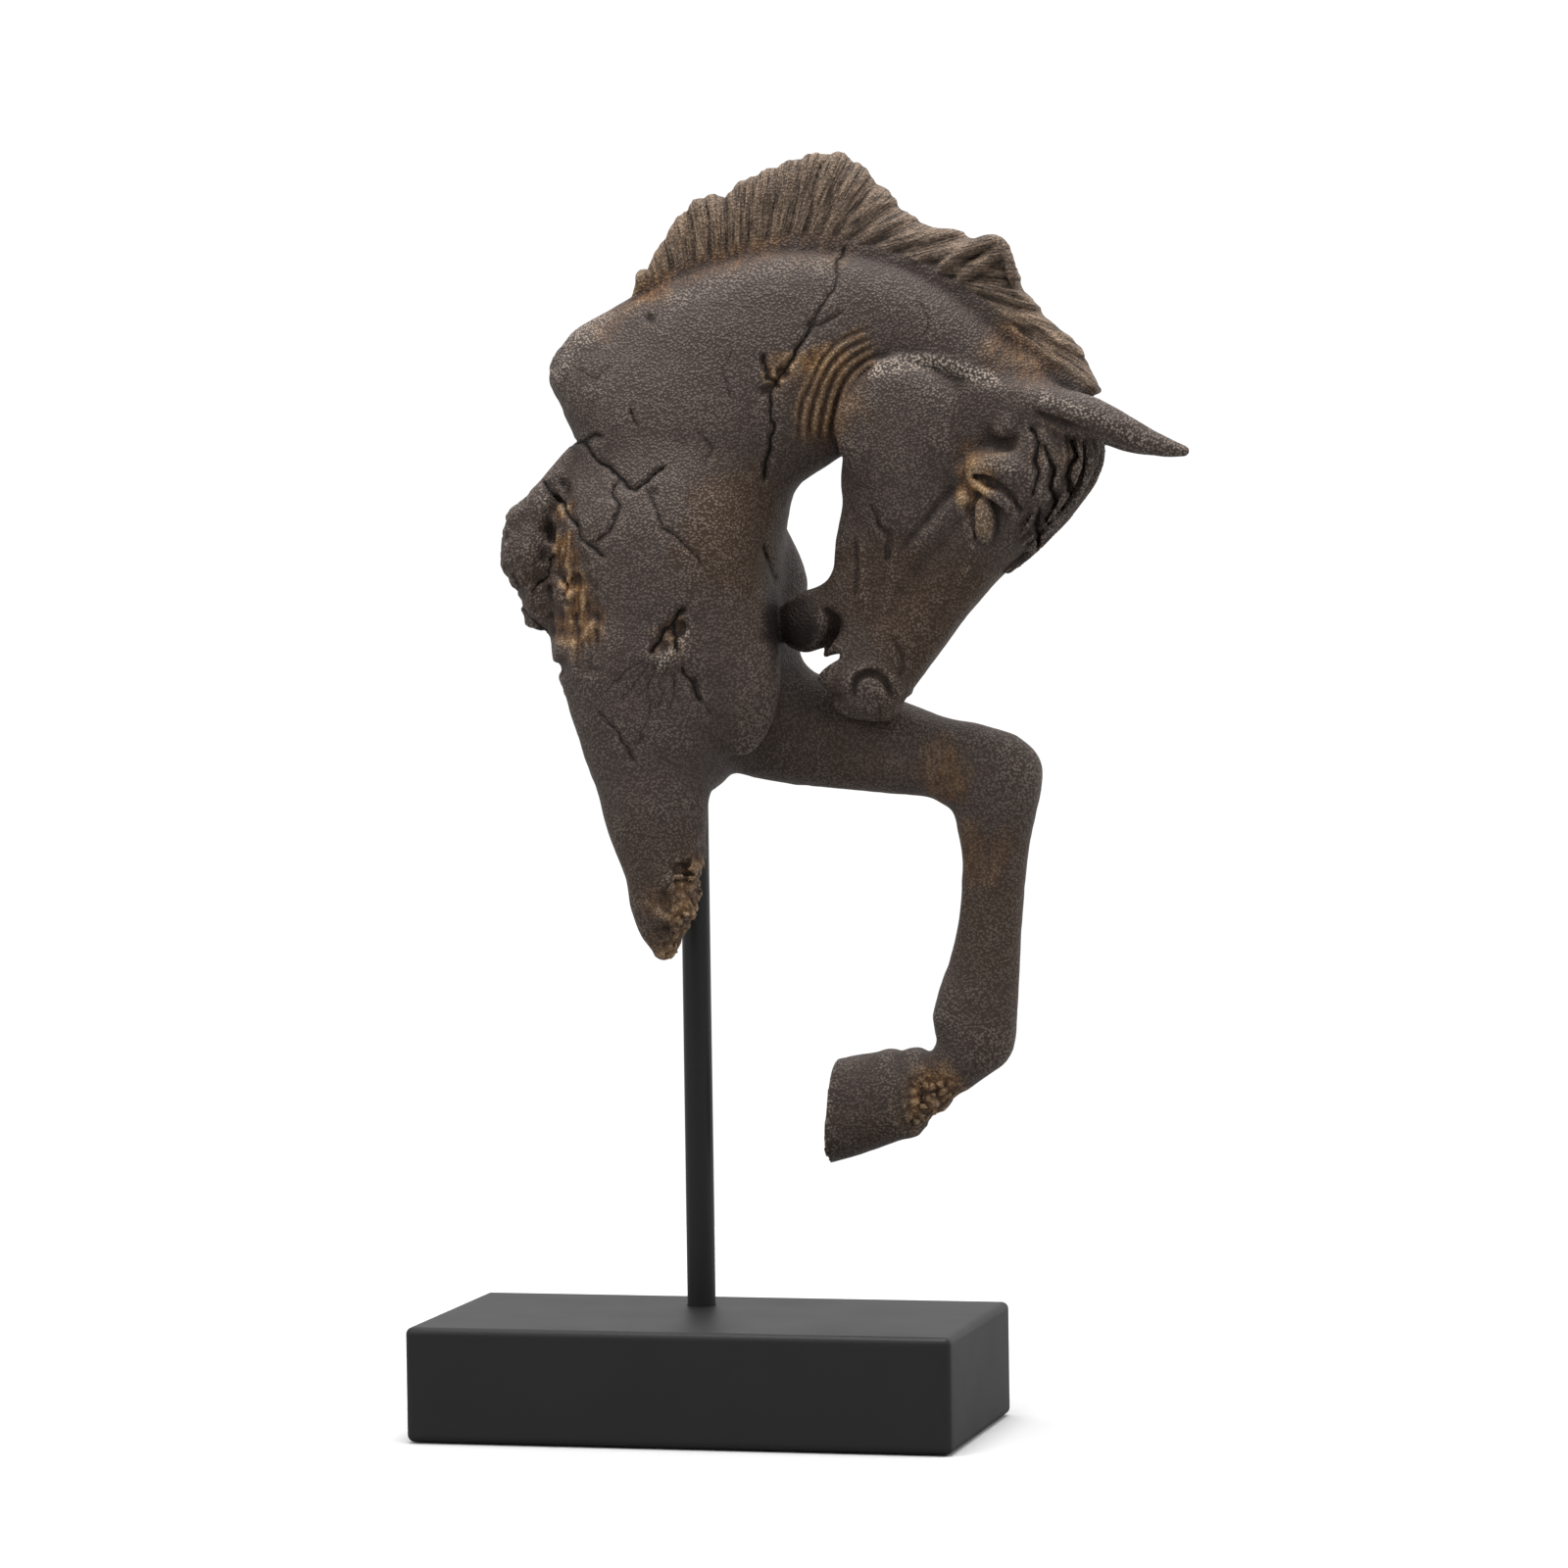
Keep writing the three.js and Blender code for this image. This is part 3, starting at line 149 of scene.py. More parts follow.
def limb(rows, depth, boxy=2.0, cap=1.0, flat_end=False):
    stations = []
    for xa, za, xb, zb, half, *own in rows:
        y = own[0] if own else depth
        a, b = at_depth(xa, za, y), at_depth(xb, zb, y)
        stations.append([a[0], a[2], b[0], b[2], y, half])
    s = smooth_rows(stations, 5)
    centre = np.stack([(s[:, 0] + s[:, 2]) / 2, (s[:, 1] + s[:, 3]) / 2], 1)
    depth_at, wide = s[:, 4], s[:, 5]
    across = np.stack([s[:, 0] - s[:, 2], s[:, 1] - s[:, 3]], 1) / 2
    long = np.linalg.norm(across, axis=1)
    across /= long[:, None]
    along = np.stack([-across[:, 1], across[:, 0]], 1)
    along *= np.sign((along * np.gradient(centre, axis=0)).sum(1))[:, None]
    bound = np.maximum(long, wide)
    place = np.stack([centre[:, 0], depth_at, centre[:, 1]], 1)
    low, high = (place - bound[:, None]).min(0), (place + bound[:, None]).max(0)

    def close(P):
        flat = P[:, [0, 2]]
        W = flat @ along.T - (centre * along).sum(1)
        U = flat @ across.T - (centre * across).sum(1)
        w0, w1 = W[:, :-1], W[:, 1:]
        hit = (w0 >= 0) & (w1 <= 0)
        f = np.where(hit, w0 / np.maximum(w0 - w1, 1e-9), 0)
        g = 1 - f
        u = U[:, :-1] * g + U[:, 1:] * f
        v = P[:, 1:2] - depth_at[:-1] * g - depth_at[1:] * f
        ru, rv = long[:-1] * g + long[1:] * f, wide[:-1] * g + wide[1:] * f
        level = np.where(hit, (u / ru) ** 2 + (v / rv) ** 2, 1e9)
        pick = np.argmin(level, 1)
        n = np.arange(len(P))
        u, v, ru, rv, level = u[n, pick], v[n, pick], ru[n, pick], rv[n, pick], level[n, pick]
        best = np.where(level < 1e8, section_distance(u, v, 0 * u, ru, rv, 1.0, boxy), 1e3)
        for end, sign, is_flat in ((0, -1, False), (-1, 1, flat_end)):
            w = W[:, end] * sign
            round_to = min(long[end], wide[end]) * cap
            d = section_distance(U[:, end], P[:, 1] - depth_at[end], w, long[end], wide[end], round_to, boxy)
            best = np.where(w > 0, np.minimum(best, d), best)
            if is_flat:
                best = np.maximum(best, w)
        return best

    def distance(P):
        out = box_distance(P, low, high)
        near = np.flatnonzero(out < REACH)
        for part in np.array_split(near, max(1, len(near) // 9000)):
            out[part] = close(P[part])
        return out

    return distance


def mass(centre, radii, tilt=0.0):
    c, s = math.cos(math.radians(tilt)), math.sin(math.radians(tilt))

    def distance(P):
        d = P - np.asarray(centre)
        return section_distance(d[:, 0] * c + d[:, 2] * s, d[:, 1], d[:, 2] * c - d[:, 0] * s, *radii)

    return distance


def disc(centre, radius, half, boxy):
    """A round plate that stands upright, with a rim as square as boxy says."""

    def distance(P):
        d = P - np.asarray(centre)
        return section_distance(np.hypot(d[:, 0], d[:, 2]), d[:, 1], 0 * d[:, 0], radius, half, 1.0, boxy)

    return distance


def cord(points, radii):
    points = np.asarray(points, float)
    low, high = points.min(0) - 5, points.max(0) + 5

    def distance(P):
        out = box_distance(P, low, high)
        near = np.flatnonzero(out < 8)
        Q = P[near]
        best = np.full(len(Q), 1e3)
        for a, b, ra, rb in zip(points[:-1], points[1:], radii[:-1], radii[1:]):
            e = b - a
            t = np.clip(((Q - a) @ e) / max(e @ e, 1e-9), 0, 1)
            best = np.minimum(best, np.linalg.norm(Q - a - t[:, None] * e, axis=1) - ra - (rb - ra) * t)
        out[near] = best
        return out

    return distance


# %% [markdown]
# ## Lumps and crumbs
# Torn resin that imitates old wood breaks in lumps and crumbs. Both come from values scattered over
# a lattice by a fixed recipe, so every run gives the same stone-like surface.

# %% Scattered values
def scatter(i, j, k):
    i, j, k = [np.asarray(v).astype(np.int64).astype(np.uint32) for v in (i, j, k)]
    h = i * np.uint32(374761393) + j * np.uint32(668265263) + k * np.uint32(873357470)
    h = (h ^ (h >> np.uint32(13))) * np.uint32(1274126177)
    return (h ^ (h >> np.uint32(16))).astype(float) / 2 ** 31 - 1


def lumps(P, size):
    p = P / np.asarray(size, float)
    cell = np.floor(p)
    f = p - cell
    f = f * f * (3 - 2 * f)
    total = np.zeros(len(P))
    for n in range(8):
        a, b, c = n & 1, n >> 1 & 1, n >> 2
        weight = (f[:, 0] if a else 1 - f[:, 0]) * (f[:, 1] if b else 1 - f[:, 1])
        weight = weight * (f[:, 2] if c else 1 - f[:, 2])
        total += scatter(cell[:, 0] + a, cell[:, 1] + b, cell[:, 2] + c) * weight
    return total


def crumbs(P, size):
    """0 in the gaps between crumbs, rising to 1 on their tops."""
    p = P / np.asarray(size, float)
    cell = np.floor(p)
    first = np.full(len(P), 9.0)
    second = np.full(len(P), 9.0)
    for n in range(27):
        at = cell + np.array([n % 3 - 1, n // 3 % 3 - 1, n // 9 - 1])
        shift = [0.5 + 0.42 * scatter(at[:, 0] + s, at[:, 1] - s, at[:, 2] + 3 * s) for s in (0, 17, 41)]
        r = np.linalg.norm(at + np.stack(shift, 1) - p, axis=1)
        second = np.minimum(second, np.maximum(first, r))
        first = np.minimum(first, r)
    return np.clip((second - first) * 1.8, 0, 1)


# %% [markdown]
# ## Bare body
# The barrel, neck, broken foreleg, raised foreleg and hoof are limbs. The shoulder, breast and cheek
# are masses laid over them. The same sections are in the solid model, so this piece keeps its form.

# %% Sections of the forms
TORSO = [
    [-54, 292, 8, 287, 26], [-66, 312, 24, 300, 33], [-73, 336, 27, 330, 38], [-77, 362, 27, 356, 40],
    [-75, 384, 28, 376, 40], [-64, 403, 27, 392, 36], [-54, 422, 22, 410, 30],
]
NECK = [
    [-52, 408, 18, 368, 30], [-71, 442, 27, 386, 33], [-62, 461, 34, 394, 31.5], [-46, 470, 41, 399, 30],
    [-26, 481, 49, 404, 28.5], [0, 491, 58, 410, 26], [28, 497, 68, 420, 23], [58, 495.5, 79, 430, 20.5],
    [88, 487, 93, 430, 19.5], [115, 470, 106, 424, 19], [138, 448, 118, 414, 18.5], [154, 432, 132, 404, 17],
]
SLAB = [
    [-62, 413, -50, 405, 19], [-73, 400, -56, 390, 25], [-88, 385, -62, 376, 28], [-91, 369, -64, 362, 29],
    [-87, 354, -62, 350, 27], [-80, 341, -60, 338, 23],
]
STUB = [
    [-71, 323, 2, 318, 22], [-64, 299, -1, 290, 22], [-58.5, 281, -6, 277, 20.5], [-53, 266, -6, 263, 19.5],
    [-49, 250, -7.5, 247, 18], [-42, 232, -8, 232, 16], [-39.5, 218, -9, 219, 14], [-36, 207, -12, 211, 11],
    [-30.5, 199, -19, 202, 7],
]
RAISED_LEG = [
    [-2, 336, 5, 284, 18, 36], [16, 332, 12, 274, 21, 40], [38, 318, 32, 269.5, 20, 43],
    [60, 311, 54, 267.5, 18.5], [80, 304, 75, 265.5, 17], [97, 297.5, 90, 264, 15.5],
    [112, 294.5, 97, 261, 14.5], [128, 289.5, 100.5, 258, 14.3], [138, 279.5, 102, 254, 14.3],
    [138.5, 268, 102.7, 250, 13.6], [136, 257, 104, 245, 12.4], [133, 243, 105, 238, 11.4],
    [131, 227, 104.5, 227, 11], [129.5, 210, 102.5, 210, 11], [128.5, 196, 99, 196, 11.6],
    [127.5, 184, 94.5, 184, 12.6], [127, 172, 91.5, 173, 13.5], [125.8, 161, 92, 166, 13.6],
    [121.5, 152, 92.5, 160.5, 13], [112, 145.5, 87.5, 154, 12], [102, 138.5, 82.5, 151.5, 11.6],
    [92, 133.5, 79, 151.5, 12.4], [86, 126, 76, 153.5, 13.4],
]
HOOF = [
    [90, 129, 77, 157, 13], [84, 122, 72, 158, 15.8], [74, 118.5, 65, 156, 17],
    [60, 113.5, 57.5, 155, 18], [46.5, 109.3, 49.8, 153.5, 19],
]
CHEEK_PLATE = [
    [77, 304.5, 50, 307, 9], [81.5, 310, 43.5, 314, 12.5], [89, 319.5, 46, 324, 13.5],
    [98, 331, 52, 334, 14], [108, 343, 52, 347, 14.5], [118, 354, 51.5, 362, 15.5],
    [127, 363, 53, 374, 17], [135, 369, 55.5, 387, 18], [144, 378, 55.5, 402, 19],
    [153, 392, 62, 424, 20], [158, 405, 76, 442, 20], [156, 420, 96, 446, 19], [147, 431, 112, 442, 16],
]
FOREHEAD = [
    [78, 304, 58, 312, 10], [90, 320, 68, 332, 12], [107, 342, 84, 356, 13.5], [120, 356.5, 98, 374, 17],
    [134, 369, 108, 392, 22], [147, 384, 119, 409, 24], [156.5, 400, 128, 422, 22], [155, 416, 134, 432, 17],
]
NEAR_EAR = [
    [112, 440, 124, 418, 7], [130, 438.5, 138, 418.5, 8.5], [148, 434.5, 152, 415, 8.5],
    [165, 429.5, 167, 411.5, 7], [180, 420.5, 180.5, 407.3, 5.4], [192, 413.8, 191.5, 404.8, 4],
    [200.5, 409.3, 200.5, 404.6, 2.4],
]
FAR_EAR = [
    [112, 440, 124, 418, 7], [130, 438.5, 138, 418.5, 8], [146, 434.5, 150, 415, 8],
    [162, 429, 164, 411.5, 6.5], [175, 421, 176, 407.3, 5], [186, 414.5, 185.5, 405.5, 3.8],
    [193, 411, 193, 405.8, 2.4],
]
STUB_Y, RAISED_Y, NEAR_EAR_Y, FAR_EAR_Y = -4, 44, 6, 30

# %% Body and head
form = {
    "torso": limb(TORSO, MIDDLE, boxy=2.3),
    "neck": limb(NECK, MIDDLE, boxy=2.1),
    "slab": limb(SLAB, 18, boxy=2.8, cap=0.5),
    "stub": limb(STUB, STUB_Y, boxy=2.2),
    "leg": limb(RAISED_LEG, RAISED_Y, boxy=2.2, cap=0.6),
    "hoof": limb(HOOF, RAISED_Y, boxy=2.4, flat_end=True),
    "plate": limb(CHEEK_PLATE, MIDDLE, boxy=2.6),
    "forehead": limb(FOREHEAD, MIDDLE, boxy=2.4, cap=0.8),
    "near_ear": limb(NEAR_EAR, NEAR_EAR_Y),
    "far_ear": limb(FAR_EAR, FAR_EAR_Y),
    "shoulder": mass(at_depth(-26, 352, -6), [36, 20, 52], -6),
    "breast": mass(at_depth(4, 322, 2), [21, 17, 40], 8),
    "far_breast": mass(at_depth(9, 351, 46), [30, 22, 34], 4),
    "jowl": disc(at_depth(81.5, 419, 7), 28, 13.5, 3.2),
    "cheek": mass(at_depth(84, 396, 8), [21, 12, 27], 8),
    "nostril_mass": mass(at_depth(66, 311, 10), [11, 6.5, 10]),
    "chin": mass(at_depth(38.5, 337.5, MIDDLE), [12, 10.5, 12.5]),
    "jaw": cord([at_depth(x, z, MIDDLE) for x, z in ((60, 352), (52, 347), (43, 341))], [10, 9, 9]),
}
MOUTH = [[48.8, 323], [44, 321.3], [39.5, 318.3]]
mouth = cord([at_depth(x, z, 0) for x, z in MOUTH], [1.4, 2.2, 2.4])


# %% Melting the forms together: each with its width, and whether both sides have it
BODY = [
    ("neck", 14, False), ("shoulder", 14, True), ("breast", 9, True), ("far_breast", 9, False),
    ("stub", 10, False), ("leg", 10, False), ("hoof", 2.5, False), ("slab", 2.5, False),
]
HEAD = [("forehead", 8, False), ("cheek", 8, True), ("jowl", 4, True), ("nostril_mass", 5, True)]
CHIN_TO_JAW, CHIN_TO_HEAD, MOUTH_EDGE, HEAD_TO_BODY = 6, 4, 2, 3


def melted(P, first, rows):
    side = folded(P)
    d = form[first](P)
    for name, width, both_sides in rows:
        d = join(d, form[name](side if both_sides else P), width)
    return d


def bare_body(P):
    return melted(P, "torso", BODY)


def bare_head(P):
    chin = join(form["chin"](P), form["jaw"](P), CHIN_TO_JAW)
    d = join(melted(P, "plate", HEAD), chin, CHIN_TO_HEAD)
    return cut(d, mouth(P * [1, 0, 1]), MOUTH_EDGE)


def bare(P):
    return join(bare_body(P), bare_head(P), HEAD_TO_BODY)


# %% [markdown]
# ## Face
# Lids, brow and nostril have to lie on the skin. Their paths are readings, and each point is dropped
# along its sight line until it meets the bare surface, then sunk by a millimetre or so.
# The eye is a long almond under a heavy upper lid, as on a horse that looks down.

# %% Points on the skin
def on_skin(path, sink=0.0, start=-60.0):
    path = np.asarray(path, float)
    y = np.full(len(path), start)
    for _ in range(70):
        P = np.array([at_depth(x, z, v) for (x, z), v in zip(path, y)])
        d = bare(P)
        y += np.where(d > 0.05, np.maximum(d * 0.6, 0.05), 0)
    return np.array([at_depth(x, z, v + sink) for (x, z), v in zip(path, y)])


def skin_cord(path, sink, radii):
    points = smooth_rows(on_skin(path, sink), 3)
    share = np.linspace(0, len(radii) - 1, len(points))
    return cord(points, np.interp(share, np.arange(len(radii)), radii))


def on_face(width, sink, path, radii):
    """A cord on the skin, with the width over which it melts into the face."""
    return skin_cord(path, sink, radii), width


# %% Eye, lids, brow, crest, temple locks and nostril rim
RAISED = {
    "eye": (mass(on_skin([[116, 379.5]], 2.4)[0], [4.4, 3.9, 10.2], 2), 1.2),
    "lid": on_face(2.4, 1.1, [[110, 396], [117, 391.5], [124, 387], [129.5, 380]], [1.3, 2.2, 2.3, 1.2]),
    "lower_lid": on_face(
        2.2, 1.2, [[111, 397], [106.5, 390], [106, 385], [109, 377], [111, 369]],
        [1, 1.5, 1.5, 1.3, 0.9]),
    "brow": on_face(
        5, 2.2, [[108, 400], [119, 403], [129, 400], [137, 393], [140, 386]],
        [3, 4.8, 4.8, 4, 2.6]),
    "crest": on_face(
        5, 2.4, [[107, 389], [99, 381], [92, 374], [86, 368], [80, 358]],
        [2.6, 3.2, 3.4, 3, 2]),
    "temple_knob": (mass(on_skin([[126, 419]], 1.5)[0], [5.5, 3.5, 4.5], 30), 3),
    "eye_corner": on_face(2.5, 1.2, [[112, 368], [109, 361], [104, 354]], [1.3, 1.6, 1]),
    "cheek_vein": on_face(3, 1.6, [[64, 372], [64.5, 360], [64, 350], [66, 340]], [1.6, 2.2, 2, 1.2]),
    "cheek_vein_low": on_face(3, 1.6, [[78, 368], [76.5, 356], [73, 343]], [1.6, 2.2, 1.4]),
    "jowl_rim": on_face(
        2.5, 1.2, [[68, 440], [74, 445], [84, 447.6], [98, 446], [110, 442], [119, 439]],
        [1.2, 2.2, 2.6, 2.6, 2.2, 1.2]),
    "temple_lock_a": on_face(
        0.8, 0.6, [[134, 420], [137, 410], [135, 400], [139, 390], [138, 380]],
        [1.2, 1.8, 1.8, 1.6, 0.8]),
    "temple_lock_b": on_face(
        0.8, 0.6, [[141, 418], [144, 405], [141, 395], [146, 384]],
        [1.2, 1.8, 1.7, 0.8]),
    "temple_lock_c": on_face(
        0.8, 0.6, [[147, 418], [150, 407], [147, 396], [149, 388]],
        [1.2, 1.7, 1.6, 0.8]),
    "temple_lock_d": on_face(
        0.8, 0.5, [[131, 405], [134, 395], [131, 386], [134, 377]],
        [0.8, 1.4, 1.4, 0.7]),
    "nostril_rim": on_face(
        3, 1.5, [[57, 312], [61, 317], [67, 318], [74, 314], [78, 308]],
        [1, 1.5, 1.6, 1.5, 1]),
}

# %% Socket, temple, nostril and creases
SUNK = {
    "socket": (mass(on_skin([[117, 380]], -0.5)[0], [9, 4.2, 15], 4), 4),
    "temple": (mass(on_skin([[121, 411]], -0.5)[0], [8, 3.4, 6.5], 30), 6),
    "nostril": on_face(
        0.8, 0.3, [[58.5, 306], [59.5, 313], [65.5, 316], [72, 313], [74.8, 306]],
        [1.1, 1.8, 1.9, 1.8, 1.1]),
    "lid_crease": on_face(1.2, 0.2, [[112, 398], [119, 396], [126, 391], [132, 383]], [0.9, 1.5, 1.5, 0.8]),
    "eye_line": on_face(0.5, 0.8, [[112, 391], [110.6, 380], [112.5, 369]], [0.6, 0.9, 0.6]),
    "masseter_edge": on_face(
        3, -0.6, [[102, 392], [94.5, 383], [88, 375.5], [83, 370], [82, 360]],
        [1.4, 2.2, 2.2, 1.8, 1]),
    "jaw_line": on_face(1.5, -0.2, [[69, 384], [71, 377], [75.5, 374], [74.5, 364]], [0.8, 1.2, 1.2, 0.7]),
    "muzzle_fold": on_face(1.4, -0.2, [[76, 330], [80, 323], [79, 315]], [0.8, 1.6, 1]),
    "mouth_corner": on_face(
        1.6, 0.4, [[47, 343], [50.5, 339], [50.5, 333], [47.5, 328]],
        [1.2, 2.6, 3.2, 2.8]),
}
nostril_bump = skin_cord([[63, 311], [68.5, 309], [74, 305]], 2.0, [1.2, 2.0, 1.3])
EAR_HOLLOW = [[139, 424], [151, 417.5], [162, 413.5], [173, 411.5], [184, 409]]
ear_hollow = cord([at_depth(x, z, NEAR_EAR_Y - 7) for x, z in EAR_HOLLOW], [1.8, 3.2, 3, 2.2, 1.2])

# %% Forelock: off the middle, thickness and path of each lock
FORELOCK = [
    [0, 4.6, [[151, 431], [163, 415], [162, 398], [152, 383], [139, 369], [127, 359]]],
    [7, 3.8, [[149, 429], [161, 411], [158, 394], [148, 380], [136, 368]]],
    [12, 3.4, [[145, 426], [155, 408], [152, 393], [143, 380], [133, 370]]],
    [17, 3.2, [[141, 421], [147, 406], [144, 392], [139, 384], [132, 374]]],
]
TWIST, TURN_WIDE, STRAND_SHARE, TAPER = 3.6, 0.62, 0.52, 0.45


def forelock_strands():
    """Each lock is three strands that wind round each other as they fall."""
    made = []
    for off, thick, path in FORELOCK:
        for side in ((1,) if off == 0 else (-1, 1)):
            for strand in range(3):
                rows = smooth_rows(path, 4)
                share = np.linspace(0, 1, len(rows))
                turn = strand * 2 * math.pi / 3 + off * side + share * TWIST * (1 + 0.1 * side)
                out = thick * (TURN_WIDE + 0.12 * np.sin(share * 9 + off * side))
                points = []
                for (x, z), a, o in zip(rows, turn, out):
                    c, e = o * math.cos(a), o * math.sin(a)
                    points.append(at_depth(x + c * 0.8, z + c * 0.5, MIDDLE + side * off + e))
                made.append(cord(points, thick * STRAND_SHARE * (1 - TAPER * share)))
    return made


strands = forelock_strands()
print("forelock strands:", len(strands))


# %% The whole head
CUT_FIRST = ("socket", "temple", "masseter_edge")


def head(P):
    side = folded(P)
    d = bare_head(P)
    near = np.flatnonzero(d < 12)
    S, Q = side[near], P[near]
    n = d[near]
    for name in CUT_FIRST:
        n = cut(n, SUNK[name][0](S), SUNK[name][1])
    for shape, width in RAISED.values():
        n = join(n, shape(S), width)
    for name in (name for name in SUNK if name not in CUT_FIRST):
        n = cut(n, SUNK[name][0](S), SUNK[name][1])
    n = join(n, nostril_bump(S), 1.2)
    for strand in strands:
        n = join(n, strand(Q), 0.8)
    d[near] = n
    return d


# %% [markdown]
# ## Mane
# The mane stands up in one thick roach with a scalloped edge. Strands run from the crest to the
# edge: up and back at the withers, upright in the middle, then almost along the neck to the poll.
# It could be made of curves or hair particles, but the casting is one skin. So the mane is a fin,
# and its strands are waves cut across it, counted by how far round the fan a point lies.

# %% Fin and fan of strands
MANE = np.array([
    [-29, 480, -27, 488], [-20, 484, -21, 499], [-12, 487, -13.5, 509], [-5, 489.5, -5, 517],
    [1, 491, 0.5, 518], [7, 493, 7, 517.5], [14, 495, 14, 523], [22, 496, 23, 527], [31, 497, 34, 531],
    [40, 497, 46, 533.5], [48, 496.5, 56, 533.5], [56, 495.5, 65, 528], [63, 493.5, 74, 519],
    [71, 492, 83, 509], [79, 490, 93, 503], [88, 487, 105, 500.5], [97, 483, 114, 497],
    [105, 478, 123, 496.5], [112, 472, 128.5, 487], [120, 465, 134, 475], [129, 457, 143, 463.5],
    [139, 448, 153, 454], [148, 440, 160, 445], [155, 433, 164.5, 436],
])
FAN = np.array([
    [-31.0, 478, -36, 486], [-27, 481, -31, 496], [-20, 484, -25, 505], [-12, 487, -17, 514],
    [-4, 490, -8, 520], [4, 492, 2, 523], [14, 495, 16, 528], [24, 497, 30, 534], [33, 498, 44, 537],
    [43, 498, 59, 533], [51, 498, 73, 523], [60, 496, 91, 512], [70, 493, 106, 503], [84, 488, 123, 496],
    [98, 482, 130, 479], [110, 475, 138, 467], [119.5, 468, 147, 453], [129, 460, 156, 442],
    [138.5, 451, 164, 434], [148, 442.5, 171, 427], [158, 434, 178, 420],
])
FIN_HALF = 10
LOCK_WIDTH, STRAND_WIDTH = 9.5, 3.3
LOCK_HEIGHT, STRAND_HEIGHT = 1.5, 0.95
MANE_LOW, MANE_HIGH = np.array([-45, -6, 425.0]), np.array([185, 46, 545.0])
SWAY, SWAY_SIZE, LEAN_ACROSS = 3.4, 15, 0.12
ROLL_OFF_MIDDLE = 9.5
fin = limb([[tx, tz, 2 * x - tx, 2 * z - tz, FIN_HALF] for x, z, tx, tz in MANE], MIDDLE, boxy=3.0, cap=0.4)
fan_way = FAN[:, 2:] - FAN[:, :2]
fan_way /= np.linalg.norm(fan_way, axis=1)[:, None]
fan_step = np.diff((FAN[:, :2] + FAN[:, 2:]) / 2, axis=0)
fan_gap = np.abs(fan_step[:, 0] * fan_way[:-1, 1] - fan_step[:, 1] * fan_way[:-1, 0])
fan_count = np.concatenate([[0], np.cumsum(fan_gap)])


def fan_place(P):
    """How far round the fan a point lies, in millimetres, and how far it is above the crest."""
    u, w = reading(P)
    dx, dz = u[:, None] - FAN[:, 0], w[:, None] - FAN[:, 1]
    right_of = dx * fan_way[:, 1] - dz * fan_way[:, 0]
    above = dx * fan_way[:, 0] + dz * fan_way[:, 1]
    a, b = right_of[:, :-1], right_of[:, 1:]
    hit = (a >= 0) & (b <= 0) & (above[:, :-1] > -30)
    f = np.where(hit, a / np.maximum(a - b, 1e-6), 0)
    pick = np.argmax(hit, 1)
    n = np.arange(len(P))
    share = f[n, pick]
    place = fan_count[pick] + fan_gap[pick] * share
    return place, above[n, pick] * (1 - share) + above[n, pick + 1] * share


# %% Strands, and the lock that rolls over the fin
def strand_relief(place, above, P):
    """Rounded strands with sharp gaps, in locks that swell between deeper gaps."""
    sway = place + SWAY * lumps(P * [1, 0.4, 1] + 500, SWAY_SIZE) + LEAN_ACROSS * np.abs(P[:, 1] - MIDDLE)
    lock = np.abs(np.sin(np.pi * sway / LOCK_WIDTH))
    strand = np.abs(np.sin(np.pi * (sway * 1.03 + 1.1 * lumps(P + 600, 7)) / STRAND_WIDTH))
    strand = strand * (0.8 + 0.5 * lumps(P + 700, 10))
    grown = soft((above + 1.5) / 6)
    return grown * (LOCK_HEIGHT * (lock - 0.75) + STRAND_HEIGHT * (strand - 0.7))


ROLLED_LOCK = [
    [3.2, [[97, 483], [104, 488.5], [113, 493.5], [121, 495.5], [126, 493]]],
    [3.0, [[104, 478], [112, 484], [120, 489], [125.5, 492]]],
    [2.2, [[126, 493], [128, 486], [129.5, 478]]],
]
rolled = []
for side in (-1, 1):
    for thick, path in ROLLED_LOCK:
        rows = smooth_rows([at_depth(x, z, MIDDLE + side * ROLL_OFF_MIDDLE) for x, z in path], 3)
        swell = np.interp(np.linspace(0, 1, len(rows)), [0, 0.3, 0.8, 1], [0.5, 1, 1, 0.6])
        rolled.append(cord(rows, thick * swell))


def mane(P):
    out = box_distance(P, MANE_LOW, MANE_HIGH)
    near = np.flatnonzero(out < 8)
    Q = P[near]
    d = fin(Q)
    skin = np.flatnonzero(np.abs(d) < 5)
    place, above = fan_place(Q[skin])
    d[skin] -= strand_relief(place, above, Q[skin]) + 0.6
    for lock in rolled:
        d = join(d, lock(Q), 1.2)
    out[near] = d
    return out


# %% [markdown]
# ## Cracks, wounds, folds and torn places
# These are cut into the finished form by moving its distance value, which opens a V-shaped groove
# wherever a point lies near a crack's path. The paths wander by a lump or so, so that no crack is
# drawn with a ruler. Cracks belong to the near side, and the throat folds to both.

